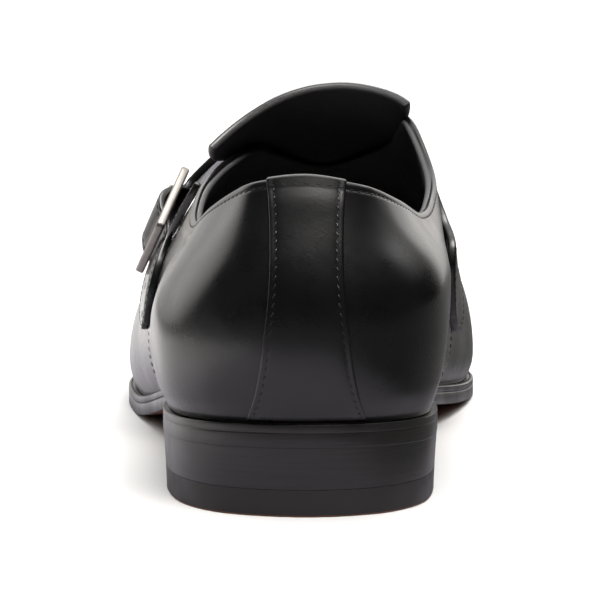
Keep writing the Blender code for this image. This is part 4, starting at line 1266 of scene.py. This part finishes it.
TOP_LIFT_THICK = 0.0065
BREAST_HOLLOW = 0.004
HEEL_MARGIN = 0.0013        # outside the feather line at the sole,
LIFT_MARGIN = 0.00081       # at the top of the top lift,
REST_MARGIN = 0.0006        # and near the rest face
HEEL_MIDDLE = (0.0, 0.004)

breast_row = next(p / 50 for p in range(ROWS * 50)
                  if around(FEATHER_LOOP, OUTER, p / 50)[1] > HEEL_BACK + HEEL_LENGTH)
heel_places = breast_row * np.linspace(0, 1, 61)


def heel_ring(margin):
    """Plan points round the heel, with a tight corner at each end of its hollow front."""
    outer = [outline(OUTER, p, margin) for p in heel_places]
    inner = [outline(INNER, p, margin) for p in heel_places[:0:-1]]
    across = inner[0] - outer[-1]
    breast = [outer[-1] + across * t - (0, BREAST_HOLLOW * 4 * t * (1 - t))
              for t in np.arange(1, 24) / 24]
    return np.array(outer + breast + inner)


def heel_block(rows):
    """A block from rings, each of a margin, a share drawn in, and a height(x, y)."""
    grid = []
    for margin, share, height in rows:
        ring = heel_ring(margin)
        ring = ring + (np.array(HEEL_MIDDLE) - ring) * share
        grid.append([(x, y, height(x, y)) for x, y in [*ring, ring[0]]])
    return block(grid)


def stack_height(share):
    return lambda x, y: TOP_LIFT_THICK + (sole_bottom(x, y) - TOP_LIFT_THICK) * share


stack_rows = [(LIFT_MARGIN, share, stack_height(0)) for share in (1, 0.6, 0.2)]
stack_rows += [(LIFT_MARGIN + (HEEL_MARGIN - LIFT_MARGIN) * up, 0.0, stack_height(up))
               for up in np.arange(31) / 30]
stack_rows += [(HEEL_MARGIN, share, stack_height(1)) for share in (0.2, 0.6, 1)]
finish("heel_stack_leather", heel_block(stack_rows), (SOLE_EDGE,), "heel_stack")


def rubber():
    made, tree, shader = material("heel rubber", (0.016, 0.0155, 0.015), 0.5)
    place = node(tree, "TexCoord").outputs["Object"]
    dust, fine = noise(tree, place, 150.0, 5.0), noise(tree, place, 2200.0, 2.0)
    tone = blend(tree, dust, (0.011, 0.0105, 0.010), (0.024, 0.023, 0.022))
    surface(tree, shader, tone, spread(tree, dust, 0.42, 0.60), fine, 0.12, 0.0002)
    return made


BROWN_LINE = 0.00062        # height of the brown leather at the rest face
lift_top = TOP_LIFT_THICK - 0.0001
lift_rows = [(REST_MARGIN - 0.0005, share, 0.0) for share in (1, 0.6, 0.2, 0.03, 0)]
lift_rows += [(REST_MARGIN - 0.0002, 0, 0.0001), (REST_MARGIN, 0, 0.0004),
              (REST_MARGIN, 0, 0.0009), (REST_MARGIN + 0.0001, 0, 0.0035),
              (LIFT_MARGIN, 0, 0.0060), (LIFT_MARGIN, 0, lift_top)]
lift_rows += [(LIFT_MARGIN - 0.0001, share, lift_top) for share in (0.2, 0.6, 1)]
lift_mesh = heel_block([(margin, share, lambda x, y, z=z: z) for margin, share, z in lift_rows])
for face in lift_mesh.faces:
    face.material_index = 1 if face.calc_center_median().z < BROWN_LINE else 0
finish("top_lift_rubber", lift_mesh, (rubber(), SOLE_BROWN), "heel_top_lift")


# Insole. A sock of thin black leather over the insole board, cut to lie just inside the upper.

INSOLE_THICK = 0.0025
INSOLE_MARGIN = -(UPPER_WALL + 0.0035)
insole_mesh = sole_layer(lambda x, y: welt_top(x, y) + GAP, INSOLE_THICK, INSOLE_MARGIN, (
    (0.0004, 0.0), (0.0, 0.2), (0.0, 0.8), (0.0005, 1.0)))
# The sock takes the lining that is painted lighter as painted fill light.
finish("insole_sock", insole_mesh, (LINING_WITH_PAINTED_FILL,), "insole")


# Studio. A white floor and soft light from the sides and above, with a dark room behind the camera
# and a dark neighbour on the right, made by dimmer world light and by painted shade on the floor.
# The leather mirrors the lights in the table here.

FLOOR_WHITE = (0.80, 0.80, 0.80)
# Soft lights: direction from the shoe, cosine at the edge and in the full light, strength.
SOFT_LIGHTS = (
    ((-0.78, 0.44, 0.44), 0.86, 0.985, 1.1),
    ((0.39, 0.89, 0.22), 0.94, 0.99, 1.25),
    ((0.12, -0.40, 0.91), 0.935, 0.985, 12.0),
)
CAMERA_AT = (0.0, -0.597, 0.110)
CAMERA_FALL = math.radians(6.0)
CAMERA_LENS = 147.0


def ramp(tree, value, start, end, low, high):
    """A smooth step of a value, from low at its start to high at its end."""
    return node(tree, "MapRange", {"Value": value, "From Min": start, "From Max": end,
                                   "To Min": low, "To Max": high},
                interpolation_type="SMOOTHSTEP").outputs[0]


def times(tree, one, other):
    return node(tree, "Math", {0: one, 1: other}, operation="MULTIPLY").outputs[0]


def white_floor():
    """White to the eye. What the shoe mirrors of it, and the light it throws back, is painted
    shade: greyer, and dark far back and right.
    """
    made, tree, shader = material("white floor", FLOOR_WHITE, 0.7, specular=0.2)
    place = node(tree, "SeparateXYZ", {0: node(tree, "TexCoord").outputs["Object"]}).outputs
    near = ramp(tree, place["Y"], -0.30, -0.12, 0.0, 1.0)
    clear = ramp(tree, place["X"], 0.03, 0.08, 1.0, 0.0)
    open_side = ramp(tree, place["X"], -0.16, -0.05, 1.0, 0.0)
    width = ramp(tree, place["X"], -0.50, -0.28, 0.0, 1.0)
    # Painted shade: for all but camera rays the floor is greyer near the shoe and nearly black far
    # back and to the right.
    grey = blend(tree, open_side, (0.38, 0.365, 0.41), (0.84, 0.83, 0.83))
    painted_shade_mirrored = blend(tree, times(tree, times(tree, near, clear), width), (0.05, 0.05, 0.05), grey)
    seen = node(tree, "LightPath").outputs["Is Camera Ray"]
    tree.links.new(blend(tree, seen, painted_shade_mirrored, FLOOR_WHITE), shader.inputs["Base Color"])
    return made


floor_mesh = bmesh.new()
bmesh.ops.create_grid(floor_mesh, x_segments=8, y_segments=8, size=4.0)
add_mesh("floor", floor_mesh, (white_floor(),))

world = bpy.data.worlds.new("studio")
bpy.context.scene.world = world
world.use_nodes = True
tree = world.node_tree
tree.nodes.clear()
aim = node(tree, "TexCoord").outputs["Generated"]
way = node(tree, "SeparateXYZ", {0: aim}).outputs
ahead = ramp(tree, way["Y"], -0.1, 0.7, 0.02, 0.9)
right = ramp(tree, way["X"], 0.0, 0.35, 0.0, 1.0)
low = ramp(tree, way["Z"], 0.25, 0.6, 1.0, 0.0)
beside = node(tree, "Math", {0: 1.0, 1: times(tree, right, low)}, operation="SUBTRACT").outputs[0]
strength = times(tree, ahead, beside)
for direction, edge, full, power in SOFT_LIGHTS:
    cosine = node(tree, "VectorMath", {0: aim, 1: Vector(direction).normalized()},
                  operation="DOT_PRODUCT").outputs["Value"]
    glow = ramp(tree, cosine, edge, full, 0.0, power)
    strength = node(tree, "Math", {0: strength, 1: glow}, operation="ADD").outputs[0]
lit = node(tree, "Background", {"Color": (1.0, 0.965, 0.935, 1.0), "Strength": strength})
seen = node(tree, "Background", {"Color": (1.0, 1.0, 0.99, 1.0), "Strength": 1.05})
both = node(tree, "MixShader", {0: node(tree, "LightPath").outputs["Is Camera Ray"],
                                1: lit.outputs[0], 2: seen.outputs[0]})
tree.links.new(both.outputs[0], node(tree, "OutputWorld").inputs["Surface"])

dome = bpy.data.lights.new("overhead scrim", "SUN")
dome.energy, dome.angle = 2.45, math.radians(100)
add("overhead scrim", dome).rotation_euler = (math.radians(-14), math.radians(6), 0.0)
bpy.context.scene.view_settings.view_transform = "Standard"

eye = bpy.data.cameras.new("camera")
eye.sensor_width, eye.lens = 36.0, CAMERA_LENS
camera = add("camera", eye)
camera.location = CAMERA_AT
camera.rotation_euler = (math.pi / 2 - CAMERA_FALL, 0.0, 0.0)
bpy.context.scene.camera = camera
